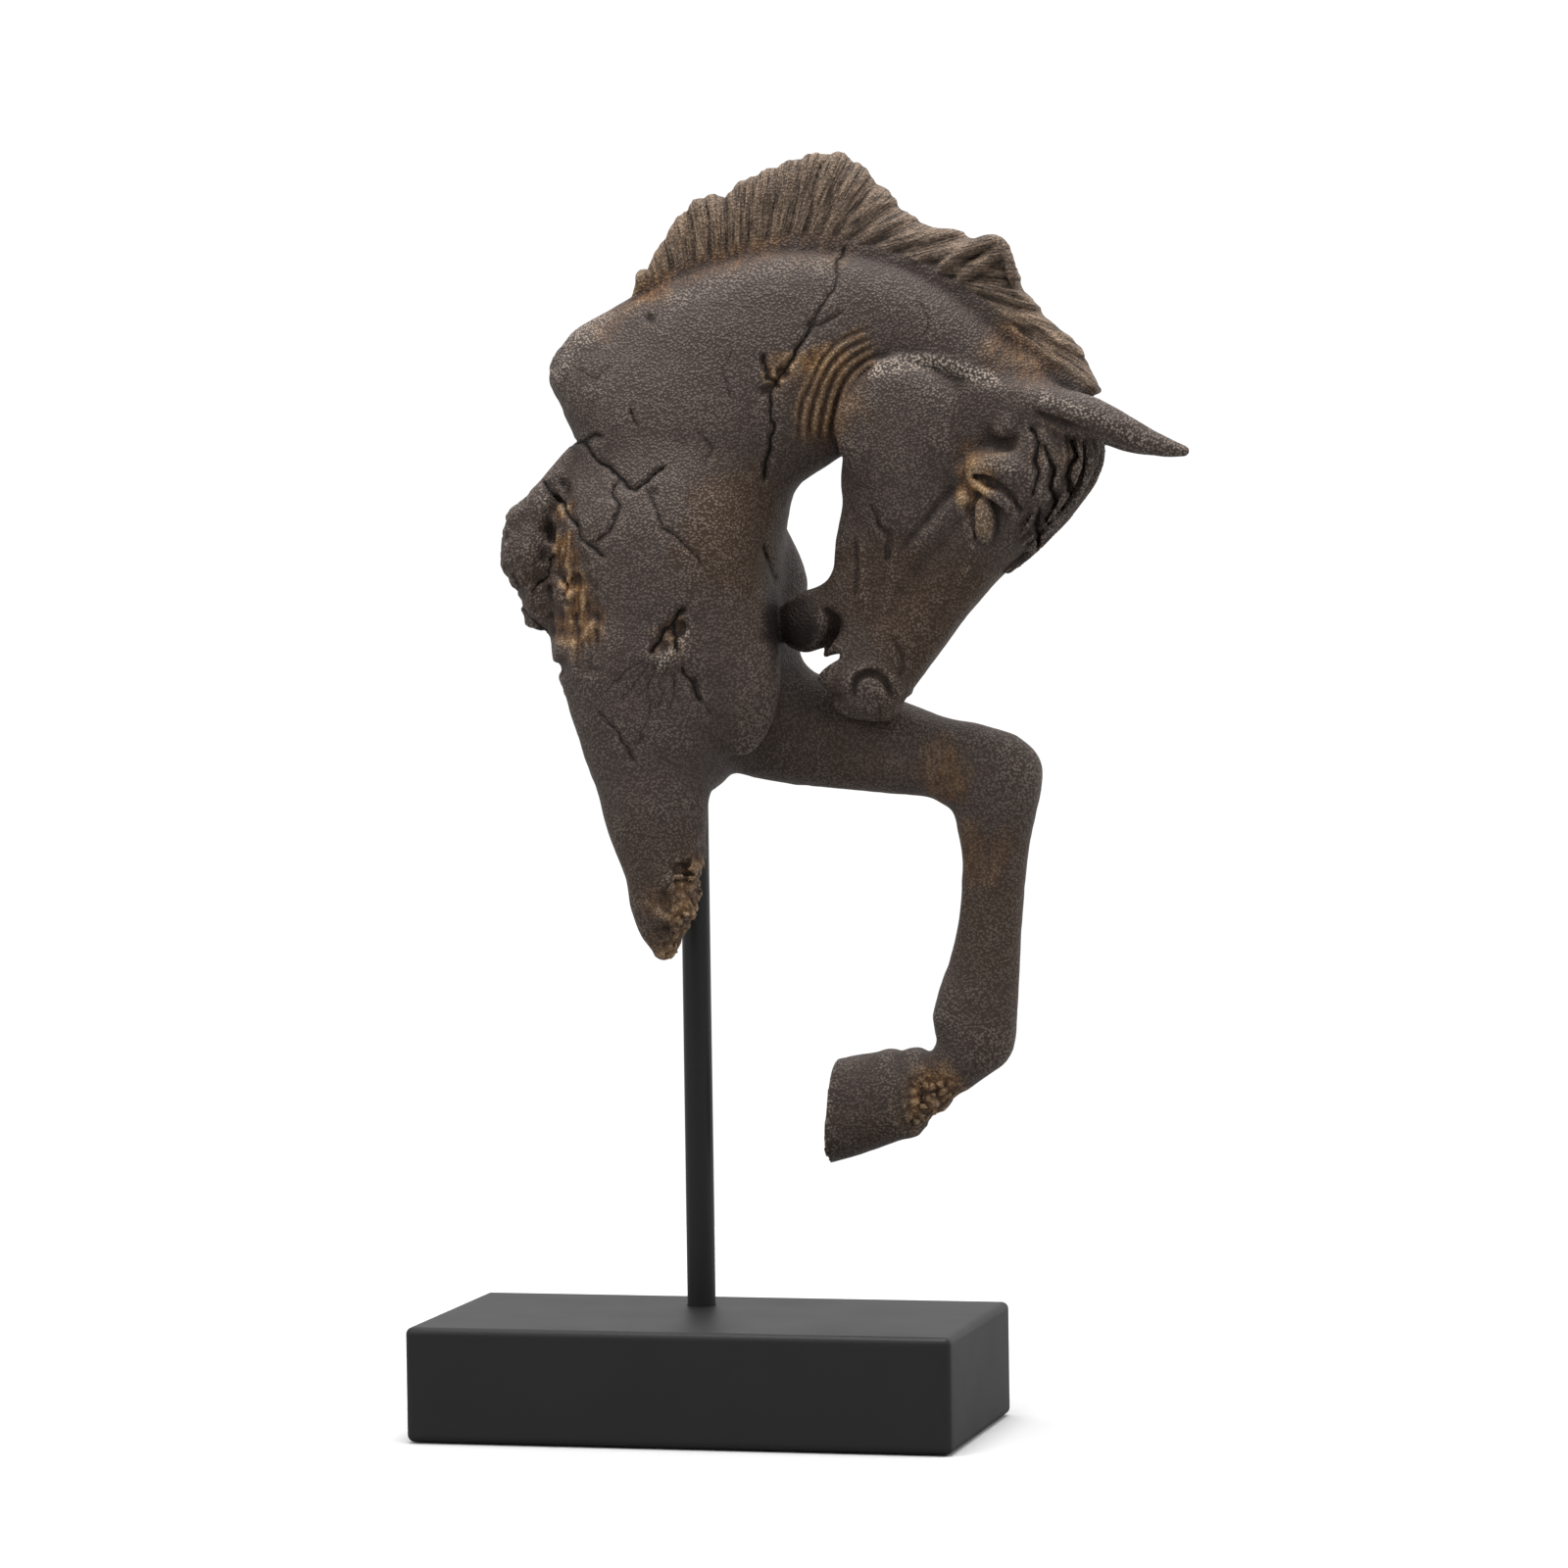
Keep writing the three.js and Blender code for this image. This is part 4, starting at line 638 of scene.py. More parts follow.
# %% Cracks: half width, depth and path
CRACKS = [
    [1.3, 1.1, [[57.4, 493.4], [53.5, 489], [54.7, 483], [52, 476.6], [48, 470.4], [42.7, 461.7],
          [37.4, 454.3]]],
    [1.8, 1.9, [[42.7, 461.7], [37.4, 454.3], [32, 445.6], [26.8, 439.4], [24.7, 430.6],
          [25.2, 421.8], [21, 398]]], [1.8, 1.6, [[20.4, 449.6], [22.9, 440.8], [28.1, 437]]],
    [1.5, 1.0, [[41.4, 461.8], [48, 462.5], [54.5, 466.5]]],
    [1.6, 1.4, [[-63, 416], [-57.4, 415.3], [-50.4, 418.5]]],
    [1.7, 1.8, [[-57.4, 415], [-52.5, 408.5], [-46.6, 404.1], [-42.7, 399.3], [-35.9, 393.9],
          [-29.9, 399], [-23.9, 404]]],
    [1.3, 1.2, [[-43.2, 399.3], [-44.8, 391.7], [-42.1, 387], [-44, 382.2], [-48.1, 376.5],
          [-52.1, 372.2]]],
    [1.7, 1.6, [[-74.6, 397], [-69.7, 392], [-64.8, 385.3], [-60, 376.6], [-56.1, 371.8], [-50, 368]]],
    [1.2, 1.0, [[-31, 394.5], [-26.1, 384.7], [-23.3, 378], [-17.4, 374.2], [-12.6, 369.3],
          [-5.8, 361.6]]], [1.4, 1.2, [[-36.5, 428], [-34.4, 423]]],
    [2.6, 3.0, [[-15.9, 343.5], [-20.9, 338], [-25, 331], [-29, 326.6]]],
    [2.2, 2.4, [[-20.9, 338], [-18.1, 333.2], [-18.1, 327.5]]],
    [1.6, 1.4, [[-15.3, 318.9], [-12.5, 312.2], [-8.6, 304.5]]],
    [1.8, 2.0, [[112, 284], [109, 274], [107, 263]]], [1.4, 1.4, [[121, 280], [116, 276], [112, 271]]],
    [1.8, 2.8, [[114, 236], [113.5, 228]]], [1.6, 1.6, [[-72, 368], [-74.5, 359], [-81, 352]]],
    [1.5, 1.3, [[-89, 358], [-87.4, 346.4], [-76.6, 336.7]]],
    [1.4, 1.2, [[27.4, 352.7], [23.6, 360.3], [21, 370]]],
    [1.4, 1.0, [[-52, 300], [-44, 292], [-38, 281]]],
    [1.9, 1.9, [[137, 416], [140, 411], [138, 404], [139, 396], [137, 390]]],
    [1.8, 1.8, [[143, 410], [146, 401], [144, 393], [146, 387], [142, 380]]],
    [1.8, 1.8, [[154, 412], [156, 405], [151, 398], [152, 392]]],
    [1.6, 1.5, [[140, 384], [138, 377], [139, 369]]],
]
FINE_CRACK_HALF, FINE_CRACK_DEPTH = 1.3, 0.5
FINE_CRACKS = [
    [[-27, 320], [-29.7, 313.3], [-32.3, 305.7]], [[-23, 320], [-24.8, 313.2], [-26.4, 303]],
    [[-31, 320], [-35.2, 314.3], [-41.2, 307.6]], [[-19.2, 320], [-19.8, 313.2], [-20.5, 301]],
    [[-11, 314], [-8, 306], [-4, 300]], [[-34, 322], [-42, 317], [-48, 309]],
    [[-29, 305], [-31, 296], [-36, 286]], [[8, 452], [4, 444], [6, 434]],
    [[-8, 420], [-2, 412], [-4, 404]], [[90, 470], [94, 464], [92, 458]],
    [[95, 300], [93, 290], [96, 281]], [[70, 302], [69, 292], [72, 284]],
    [[125, 262], [120, 256], [121, 248]], [[60.5, 371], [61, 360], [60.5, 350]],
    [[67.6, 386], [70, 379], [75, 374.6], [74, 363.7]], [[-60, 446], [-52, 442], [-47, 446]],
    [[110, 154], [103, 149], [97, 141]], [[52, 112], [56, 128], [54, 140]],
]

# %% Pits, folds and torn places
# A pit has a place, a radius and a depth. A torn or crumbled place has a reading, a depth, a reach
# and a height, and a crumbled one also the size of its crumbs.
PITS = [
    [-18, 336, 4.5, 3.2], [-24, 329, 4, 2.4], [-28, 466, 3, 1.4], [-28.5, 392.5, 3, 1.2],
    [30, 443, 3.5, 2.0], [24, 436, 3.5, 2.0], [-90, 350, 5, 2], [-69, 320, 4, 2.4],
]
FOLDS = {
    "at": (82, 418), "from": 29.5, "to": 48, "start": 104, "end": 190,
    "apart": 4.3, "high": 0.75, "wander": 2.0, "wander_size": 16, "side_fade": 4, "end_fade": 14,
}
TORN = [
    [-84, 366, 18, 40, 2.2], [-60, 345, -8, 26, 1.6], [-14, 222, -4, 26, 2.2],
    [88, 134, 44, 20, 1.8], [-64, 436, 20, 30, 1.4], [27, 440, 4, 15, 1.2],
]
CRUMBLED = [
    [-11, 224, -6, 20, 2.0, 4.2], [-18, 204, -6, 15, 1.8, 3.8], [88, 134, 34, 17, 1.8, 4.0],
    [100, 142, 36, 9, 1.2, 3.4], [27, 446, 4, 12, 1.7, 3.6], [-66, 307, -4, 9, 1.6, 4.4],
    [-62, 291, -4, 8, 1.4, 4.0],
]
FIBROUS = [
    [[-60, 352], [-57, 338], [-56, 324]], [[-69, 392], [-66, 374], [-63, 358]],
]
FIBRE_HALF, FIBRE_DEPTH = 9, 1.5
TORN_FADE, CRUMB_FADE = 12, 6
SHAKES = [[1.3, 5, 31, 67], [0.5, 2, 7, 11]]


def to_line(x, z, path):
    """Distance from readings to the nearest stretch of a path."""
    best = np.full(len(x), 1e3)
    for (ax, az), (bx, bz) in zip(path[:-1], path[1:]):
        ex, ez = bx - ax, bz - az
        t = np.clip(((x - ax) * ex + (z - az) * ez) / (ex * ex + ez * ez), 0, 1)
        best = np.minimum(best, np.hypot(x - ax - ex * t, z - az - ez * t))
    return best


# %% How deep a crack or pit goes at a point
def near_side(P):
    return soft((MIDDLE + 4 - P[:, 1]) / 8)


def warped_reading(P):
    """The reading of a point, shaken so that no crack is drawn with a ruler."""
    u, w = reading(P)
    for much, size, start_u, start_w in SHAKES:
        u = u + much * lumps(P + start_u, size)
        w = w + much * lumps(P + start_w, size)
    return u, w


def crack_depth(P):
    u, w = warped_reading(P)
    deep = np.zeros(len(P))
    for wide, down, path in CRACKS:
        deep = np.maximum(deep, down * np.clip(1.1 - to_line(u, w, path) / wide, 0, 1))
    for path in FINE_CRACKS:
        from_line = to_line(u, w, path) / FINE_CRACK_HALF
        deep = np.maximum(deep, FINE_CRACK_DEPTH * np.clip(1 - from_line, 0, 1))
    for x, z, wide, down in PITS:
        deep = np.maximum(deep, down * soft(1.4 - np.hypot(u - x, w - z) / wide))
    return deep * near_side(P)


def beside_crack(P):
    """Signed distance to the nearest crack's line, so that it can be drawn finer than the mesh."""
    u, w = warped_reading(P)
    best, signed, strong = np.full(len(P), 9.0), np.full(len(P), 9.0), np.zeros(len(P))
    lines = [(c[2], min(0.45 * c[1], 1)) for c in CRACKS] + [(path, 0.3) for path in FINE_CRACKS]
    for path, strength in lines:
        for (ax, az), (bx, bz) in zip(path[:-1], path[1:]):
            ex, ez = bx - ax, bz - az
            t = np.clip(((u - ax) * ex + (w - az) * ez) / (ex * ex + ez * ez), 0, 1)
            r = np.hypot(u - ax - ex * t, w - az - ez * t)
            side = np.sign((u - ax) * ez - (w - az) * ex)
            signed = np.where(r < best, r * side, signed)
            strong = np.where(r < best, strength, strong)
            best = np.minimum(best, r)
    return signed, strong * soft((3 - best) / 2) * near_side(P)


# %% Folds, torn places and the swell of the skin
def fold_wave(P):
    """Ridge height of the throat folds, and how much a point belongs to them."""
    u, w = reading(folded(P))
    ring = np.hypot(u - FOLDS["at"][0], w - FOLDS["at"][1])
    turn = np.degrees(np.arctan2(w - FOLDS["at"][1], u - FOLDS["at"][0]))
    turn = np.where(turn < -90, turn + 360, turn)
    fade = FOLDS["side_fade"]
    member = soft((ring - FOLDS["from"] + 2) / fade) * soft((FOLDS["to"] + 2 - ring) / fade)
    fade = FOLDS["end_fade"]
    member = member * soft((turn - FOLDS["start"]) / fade) * soft((FOLDS["end"] - turn) / fade)
    wander = FOLDS["wander"] * lumps(P + 5, FOLDS["wander_size"])
    wave = np.sin((ring - FOLDS["from"] + wander + (turn - 140) * 0.03) / FOLDS["apart"] * 2 * np.pi)
    return member * (0.35 + wave - 0.35 * wave * wave), member


def torn_height(P):
    high = np.zeros(len(P))
    for x, z, y, reach, tall in TORN:
        r = np.linalg.norm(P - at_depth(x, z, y), axis=1)
        inside = np.flatnonzero(r < reach)
        fade = soft((reach - r[inside]) / TORN_FADE)
        high[inside] += tall * fade * (lumps(P[inside], 7) + 0.4 * lumps(P[inside] + 9, 3))
    for x, z, y, reach, tall, size in CRUMBLED:
        r = np.linalg.norm(P - at_depth(x, z, y), axis=1)
        inside = np.flatnonzero(r < reach)
        high[inside] += tall * soft((reach - r[inside]) / CRUMB_FADE) * (crumbs(P[inside], size) - 0.75)
    u, w = reading(P)
    for path in FIBROUS:
        r = to_line(u, w, path)
        inside = np.flatnonzero((r < FIBRE_HALF) & (P[:, 1] < MIDDLE))
        Q = P[inside]
        fibres = np.abs(lumps(Q, (3.2, 6, 15))) + 0.7 * np.abs(lumps(Q + 3, (2.2, 4, 8)))
        within = soft((FIBRE_HALF - r[inside] + 2 * lumps(Q + 5, 5)) / 4)
        high[inside] -= FIBRE_DEPTH * within * (0.35 + fibres)
    return high


def skin_swell(P):
    """The faint unevenness of a hand-modelled skin."""
    return 0.28 * lumps(P + 100, 8) + 0.16 * lumps(P + 200, 3.6)


def worked(d, P):
    """The field with its damage, folds and swell, worked out only close to the skin."""
    near = np.flatnonzero(np.abs(d) < 7)
    Q = P[near]
    wave, _ = fold_wave(Q)
    d[near] += crack_depth(Q) - FOLDS["high"] * wave - torn_height(Q) - skin_swell(Q)
    return d


# %% [markdown]
# ## The whole horse, and its surface
# The field is sampled on a lattice, from coarse to fine, only near the surface. In each cell that
# the surface crosses, one point is set at the mean of the crossings, and neighbouring points are
# joined by quads. That keeps the strands round at a millimetre step, where voxel remeshing would
# cost far more memory.

# %% Field of the horse
ROD_RADIUS, ROD_X, ROD_Y, ROD_BOTTOM, ROD_TOP = 6.0, -11.5, 29.0, 28.0, 311.0
CLEARANCE, EAR_TO_HEAD, MANE_TO_NECK = 0.3, 5, 2


def horse_field(P):
    d = join(bare_body(P), head(P), HEAD_TO_BODY)
    d = join(d, cut(form["near_ear"](P), ear_hollow(P), 1), EAR_TO_HEAD)
    d = join(d, form["far_ear"](P), EAR_TO_HEAD)
    d = join(d, mane(P), MANE_TO_NECK)
    d = worked(d, P)
    bore = np.hypot(P[:, 0] - ROD_X, P[:, 1] - ROD_Y) - ROD_RADIUS - CLEARANCE
    return np.maximum(d, -np.maximum(bore, P[:, 2] - ROD_TOP - CLEARANCE))


# %% Surface of a field
def surface(field, low, high, step, levels=3):
    """Points and quads where a field crosses zero, found from coarse cells down to fine ones."""
    low = np.asarray(low, float)
    size = step * 2 ** levels
    count = np.ceil((np.asarray(high) - low) / size).astype(int)
    cells = np.stack(np.meshgrid(*[np.arange(n) for n in count], indexing="ij"), -1).reshape(-1, 3)
    eight = np.array([[i, j, k] for i in (0, 1) for j in (0, 1) for k in (0, 1)])
    for _ in range(levels):
        d = field(low + (cells + 0.5) * size)
        cells = cells[np.abs(d) < size * 1.25 + 1]
        cells = (cells[:, None] * 2 + eight).reshape(-1, 3)
        size /= 2
    shape = count * 2 ** levels + 1
    needed = np.zeros(shape, bool)
    for o in eight:
        needed[tuple((cells + o).T)] = True
    value = np.ones(shape, np.float32)
    where = np.argwhere(needed)
    value[needed] = field(low + where * size)
    corner = np.stack([value[tuple((cells + o).T)] for o in eight], 1)
    crossed = (corner < 0).any(1) & (corner >= 0).any(1)
    cells, corner = cells[crossed], corner[crossed]
    total, met = np.zeros((len(cells), 3)), np.zeros(len(cells))
    for a in range(8):
        for b in range(a + 1, 8):
            if bin(a ^ b).count("1") != 1:
                continue
            va, vb = corner[:, a], corner[:, b]
            m = (va < 0) != (vb < 0)
            t = np.where(m, va / np.where(m, va - vb, 1), 0)[:, None]
            total += np.where(m[:, None], eight[a] * (1 - t) + eight[b] * t, 0)
            met += m
    verts = low + (cells + total / met[:, None]) * size
    number = np.full(shape, -1, np.int64)
    number[tuple(cells.T)] = np.arange(len(cells))
    quads = []
    for axis, far in enumerate((4, 2, 1)):
        m = (corner[:, 0] < 0) != (corner[:, far] < 0)
        base = cells[m]
        b = np.eye(3, dtype=int)[(axis + 1) % 3]
        c = np.eye(3, dtype=int)[(axis + 2) % 3]
        ids = np.stack([number[tuple((base - o).T)] for o in (0 * b, b, b + c, c)], 1)
        outward = corner[m, 0] < 0
        ids = np.where(outward[:, None], ids, ids[:, ::-1])
        quads.append(ids[(ids >= 0).all(1)])
    return verts, np.concatenate(quads)


# %% Largest shell
def main_shell(verts, quads):
    """Drops bits that aren't joined to the largest closed surface."""
    label = np.arange(len(verts))
    a = quads.ravel()
    b = np.roll(quads, 1, axis=1).ravel()
    while True:
        before = label.copy()
        low = np.minimum(label[a], label[b])
        np.minimum.at(label, a, low)
        np.minimum.at(label, b, low)
        label = label[label[label[label]]]
        if (label == before).all():
            break
    kept = np.bincount(label[quads[:, 0]]).argmax()
    number = np.cumsum(label == kept) - 1
    return verts[label == kept], number[quads[label[quads[:, 0]] == kept]]


HORSE_LOW, HORSE_HIGH = (-112, -34, 98), (216, 76, 546)
verts, quads = surface(horse_field, HORSE_LOW, HORSE_HIGH, FINE_STEP)
print("horse surface:", len(verts), "points,", len(quads), "quads")
verts, quads = main_shell(verts, quads)
print("kept:", len(verts), "points,", len(quads), "quads")

# %% [markdown]
# ## From surface to piece
# The mesh is thinned to under two hundred thousand triangles, where it is flattest first, and kept
# inside the box of the solid model.

# %% Horse piece
def link(obj):
    bpy.context.scene.collection.objects.link(obj)
    return obj


def mesh_object(name, points, faces):
    mesh = bpy.data.meshes.new(name)
    mesh.from_pydata([tuple(p) for p in points], [], [tuple(int(i) for i in f) for f in faces])
    mesh.validate()
    mesh.shade_smooth()
    return link(bpy.data.objects.new(name, mesh))


def apply_modifiers(obj):
    graph = bpy.context.evaluated_depsgraph_get()
    made = bpy.data.meshes.new_from_object(obj.evaluated_get(graph))
    obj.modifiers.clear()
    old = obj.data
    obj.data = made
    bpy.data.meshes.remove(old)


low, high = np.array(CAD_BOX[0]) / MM, np.array(CAD_BOX[1]) / MM
verts = np.clip(verts, low + 0.02, high - 0.02)
horse = mesh_object("cast_horse", verts * MM, quads)
if 2 * len(quads) > MOST_TRIANGLES:
    thin = horse.modifiers.new("thin", "DECIMATE")
    thin.ratio = MOST_TRIANGLES / (2 * len(quads))
    apply_modifiers(horse)
horse.data.shade_smooth()
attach(horse, "root")
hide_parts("horse")
print("horse triangles:", sum(len(p.vertices) - 2 for p in horse.data.polygons))

# %% [markdown]
# ## Where gold, painted highlights and painted shade lie
# The maker brushed rust-gold wash into torn places. Pale paint on the high points and rims is a painted
# highlight, and dark paint in hollows and a few deep places is painted shade. Both follow the shape:
# a point that lies below its smoothed neighbourhood is a hollow, and one above it is a ridge. These
# are kept as values on the mesh, with broad patches where the photograph shows gold.

# %% Hollows and ridges
def height_above_surroundings(obj, rounds):
    """How far each point stands out of its smoothed surroundings, in millimetres."""
    mesh = obj.data
    n = len(mesh.vertices)
    co = np.empty(n * 3, np.float32)
    mesh.vertices.foreach_get("co", co)
    normal = np.empty(n * 3, np.float32)
    mesh.vertices.foreach_get("normal", normal)
    co, normal = co.reshape(-1, 3) / MM, normal.reshape(-1, 3)
    edge = np.empty(len(mesh.edges) * 2, np.int32)
    mesh.edges.foreach_get("vertices", edge)
    a, b = edge.reshape(-1, 2).T
    degree = np.maximum(np.bincount(a, minlength=n) + np.bincount(b, minlength=n), 1)
    smooth, found = co.copy(), []
    for step in range(1, max(rounds) + 1):
        moved = np.empty_like(smooth)
        for axis in range(3):
            moved[:, axis] = np.bincount(a, smooth[b, axis], n) + np.bincount(b, smooth[a, axis], n)
        smooth = moved / degree[:, None]
        if step in rounds:
            found.append(((co - smooth) * normal).sum(1))
    return co, found


# %% Patches of gold, brown and shade: reading, depth, reach and strength
GOLD_PATCHES = [
    [-56, 338, -14, 17, 1.3], [-60, 352, -14, 11, 1.1], [-66, 370, -12, 10, 1.1], [-67, 387, -12, 8, 0.9],
    [28, 447, 0, 11, 0.9], [118, 400, 4, 15, 1.1], [109, 388, 2, 8, 0.9],
    [-12, 222, -6, 22, 0.8], [-18, 202, -6, 15, 0.9], [90, 136, 36, 20, 0.9], [-22, 331, -16, 15, 0.7],
    [50, 446, 0, 15, 0.9], [56, 425, 0, 14, 0.3], [96, 275, 36, 18, 0.5], [110, 240, 32, 18, 0.5],
    [115, 381, 0, 9, 0.3], [-5, 497, 12, 22, 0.8], [20, 503, 12, 20, 0.6], [50, 500, 12, 20, 0.3],
    [136, 452, 10, 24, 0.7], [-45, 470, 4, 16, 0.35], [-26, 488, 10, 18, 0.9], [8, 500, 10, 16, 0.8],
    [142, 408, 12, 18, 0.5], [67, 306, 6, 4, 0.5],
]
# Painted shadow: dark patches on the chin, at the mouth corner, by the jaw and in a pit on the neck, where
# deep shade falls.
PAINTED_SHADOWS = [
    [28, 336, 8, 20, 1.2], [49.5, 334, 8, 8, 1.2], [45, 352, 20, 10, 0.4], [24, 436, 4, 5, 0.5],
]


def patches(P, rows):
    total = np.zeros(len(P))
    ragged = 5 * lumps(P + 300, 9) + 2.5 * lumps(P + 400, 4)
    for x, z, y, reach, strong in rows:
        r = np.linalg.norm(P - at_depth(x, z, y), axis=1)
        total = np.maximum(total, strong * soft((reach - r + ragged) / (reach * 0.55)))
    return total


BROWN_PATCHES = [
    [130, 215, 44, 52, 0.6], [128, 178, 44, 34, 0.5], [60, 285, 44, 34, 0.45], [100, 336, 12, 46, 1.0],
    [74, 352, 8, 30, 0.9], [84, 300, 10, 26, 0.5], [-25, 222, -6, 46, 0.6], [20, 345, -4, 30, 0.4],
    [62, 350, 6, 30, 0.5], [52, 430, 4, 26, 0.9], [10, 376, -10, 38, 1.1], [70, 130, 44, 30, 0.35],
    [-60, 352, 0, 40, 0.5], [10, 300, 10, 26, 0.4],
]

# %% Rims with a painted highlight: path, reach and strength
HIGHLIGHT_RIMS = [
    [[[70, 443], [84, 446.5], [98, 445], [111, 441], [120, 438]], 4.5, 0.9],
    [[[110, 399], [119, 402], [127, 400]], 2.5, 0.4],
    [[[140, 430], [152, 427], [170, 418], [184, 410]], 3, 0.5],
    [[[118, 293], [130, 288], [139, 279]], 6, 0.5],
    [[[-36, 487], [-30, 497], [-24, 504], [-16, 512]], 6, 0.7],
    [[[-6, 519], [4, 523], [16, 528], [30, 534], [44, 536]], 5, 0.6],
    [[[118, 499], [129, 488], [142, 468]], 4, 0.6], [[[-68, 446], [-62, 458], [-48, 468]], 6, 0.4],
    [[[-16, 474], [0, 480], [22, 487], [48, 488]], 5, 0.22],
    [[[-26, 320], [-20, 326], [-14, 334]], 3, 0.7], [[[103, 300], [112, 295], [124, 291]], 4, 0.6],
]


# Painted highlight: pale paint along the rims, strongest on the near side.
def highlight_on_rims(P):
    u, w = reading(P)
    total = np.zeros(len(P))
    for path, reach, strong in HIGHLIGHT_RIMS:
        total = np.maximum(total, strong * soft((reach - to_line(u, w, path)) / (0.7 * reach)))
    return total * soft((MIDDLE + 14 - P[:, 1]) / 8)


def store(obj, name, values):
    layer = obj.data.attributes.new(name, "FLOAT", "POINT")
    layer.data.foreach_set("value", np.asarray(values, np.float32))


# %% Values kept on the horse
FINE_ROUNDS, BROAD_ROUNDS = 3, 14
co, (fine, broad) = height_above_surroundings(horse, (FINE_ROUNDS, BROAD_ROUNDS))
_, member = fold_wave(co)
dark = patches(co, PAINTED_SHADOWS)
# The hollow value is painted shade: dark in hollows, and darkest in the painted shadow patches.
store(horse, "hollow", np.maximum(soft(-fine * 3.0) * 0.6 + soft(-broad * 0.8) * 0.6, dark * 1.2))
store(horse, "ridge", soft(fine * 3.0) * 0.6 + soft(broad * 0.8) * 0.6)
store(horse, "gold", np.maximum(patches(co, GOLD_PATCHES), member * 0.5))
store(horse, "brown", patches(co, BROWN_PATCHES))
beside, close_by = beside_crack(co)
# Painted highlight along the rims.
store(horse, "rubbed", highlight_on_rims(co))
store(horse, "beside_crack", beside)
store(horse, "by_crack", close_by)
place, above = fan_place(co)
inside_fan = (box_distance(co, MANE_LOW, MANE_HIGH) < 0) & (np.abs(co[:, 1] - MIDDLE) < 15)
store(horse, "hair", np.where(inside_fan, soft((above - 1) / 4), 0))
store(horse, "round_fan", place)
store(horse, "up_fan", above)
for rounds, found in (("fine", fine), ("broad", broad)):
    print("standing out in mm,", rounds, np.round(np.percentile(found, [1, 50, 99]), 2))

# %% [markdown]
# ## Rod and block
# The rod is plain round bar, painted black, and stands in a blind hole in the block. The block is
# solid, with all its edges eased by three millimetres. Both are lofted from rings of points, which
# gives even, clean shading without a bevel modifier.

# %% Loft of rings
def loft(name, rings):
    """Closed rings of points with the same count, joined in order and capped at both ends."""
    n = len(rings[0])
    points = [p for ring in rings for p in ring]
    faces = []
    for r in range(len(rings) - 1):
        for i in range(n):
            j = (i + 1) % n
            faces.append([r * n + i, r * n + j, (r + 1) * n + j, (r + 1) * n + i])
    faces.append(list(range(n))[::-1])
    faces.append([(len(rings) - 1) * n + i for i in range(n)])
    return mesh_object(name, np.array(points) * MM, faces)


# %% Rod
ROD_SIDES, ROD_EASE, ROD_SUPPORT = 96, 0.5, 2


def rod_ring(radius, z):
    turn = np.arange(ROD_SIDES) / ROD_SIDES * 2 * math.pi
    return [[ROD_X + radius * math.cos(t), ROD_Y + radius * math.sin(t), z] for t in turn]


rod_rows = [
    [ROD_RADIUS - ROD_EASE, ROD_BOTTOM], [ROD_RADIUS, ROD_BOTTOM + ROD_EASE],
    [ROD_RADIUS, ROD_BOTTOM + ROD_SUPPORT], [ROD_RADIUS, ROD_TOP - ROD_SUPPORT],
    [ROD_RADIUS, ROD_TOP - ROD_EASE], [ROD_RADIUS - ROD_EASE, ROD_TOP],
]
rod = loft("black_rod", [rod_ring(r, z) for r, z in rod_rows])
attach(rod, "root")
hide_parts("rod")

# %% Block with eased edges
BLOCK_LENGTH, BLOCK_DEPTH, BLOCK_HEIGHT, EASE = 232.0, 118.0, 48.0, 3.0
CORNER_STEPS, EDGE_STEPS, SUPPORT = 6, 28, 0.6
CAP_INSET, LEAST_CORNER = 1.5, 0.2


def block_ring(inset, corner, z):
    """A rectangle with round corners, walked once round."""
    half_x, half_y = BLOCK_LENGTH / 2 - inset, BLOCK_DEPTH / 2 - inset
    ring = []
    for q in range(4):
        sx, sy = ((1, 1), (-1, 1), (-1, -1), (1, -1))[q]
        cx, cy = sx * (half_x - corner), sy * (half_y - corner)
        for s in range(CORNER_STEPS + 1):
            t = (q + s / CORNER_STEPS) * math.pi / 2
            ring.append([cx + corner * math.cos(t), cy + corner * math.sin(t), z])
        end = ring[-1]
        nx, ny = ((-1, 1), (-1, -1), (1, -1), (1, 1))[q]
        turn = (q + 1) * math.pi / 2
        at_x, at_y = nx * (half_x - corner), ny * (half_y - corner)
        start = [at_x + corner * math.cos(turn), at_y + corner * math.sin(turn)]
        for s in range(1, EDGE_STEPS):
            t = s / EDGE_STEPS
            ring.append([end[0] + (start[0] - end[0]) * t, end[1] + (start[1] - end[1]) * t, z])
    return ring


def eased_ring(grown, z):
    """A ring on an eased edge: grown goes from 0 at the flat face to 1 at the upright side."""
    return block_ring(EASE - EASE * grown, max(EASE * grown, LEAST_CORNER), z)


turns = [i / CORNER_STEPS * math.pi / 2 for i in range(CORNER_STEPS + 1)]
rings = [block_ring(EASE + CAP_INSET, LEAST_CORNER, 0.0)]
rings += [eased_ring(math.sin(t), EASE - EASE * math.cos(t)) for t in turns]
rings += [block_ring(0, EASE, EASE + SUPPORT), block_ring(0, EASE, BLOCK_HEIGHT - EASE - SUPPORT)]
rings += [eased_ring(math.cos(t), BLOCK_HEIGHT - EASE + EASE * math.sin(t)) for t in turns]
rings += [block_ring(EASE + CAP_INSET, LEAST_CORNER, BLOCK_HEIGHT)]

# %% Blind hole for the rod
hole = ROD_RADIUS + CLEARANCE


def hole_ring(radius, z):
    """A circle round the rod with a point for each point of the block's rings."""
    ring = []
    for x, y, _ in rings[-1]:
        t = math.atan2(y - ROD_Y, x - ROD_X)
        ring.append([ROD_X + radius * math.cos(t), ROD_Y + radius * math.sin(t), z])
    return ring


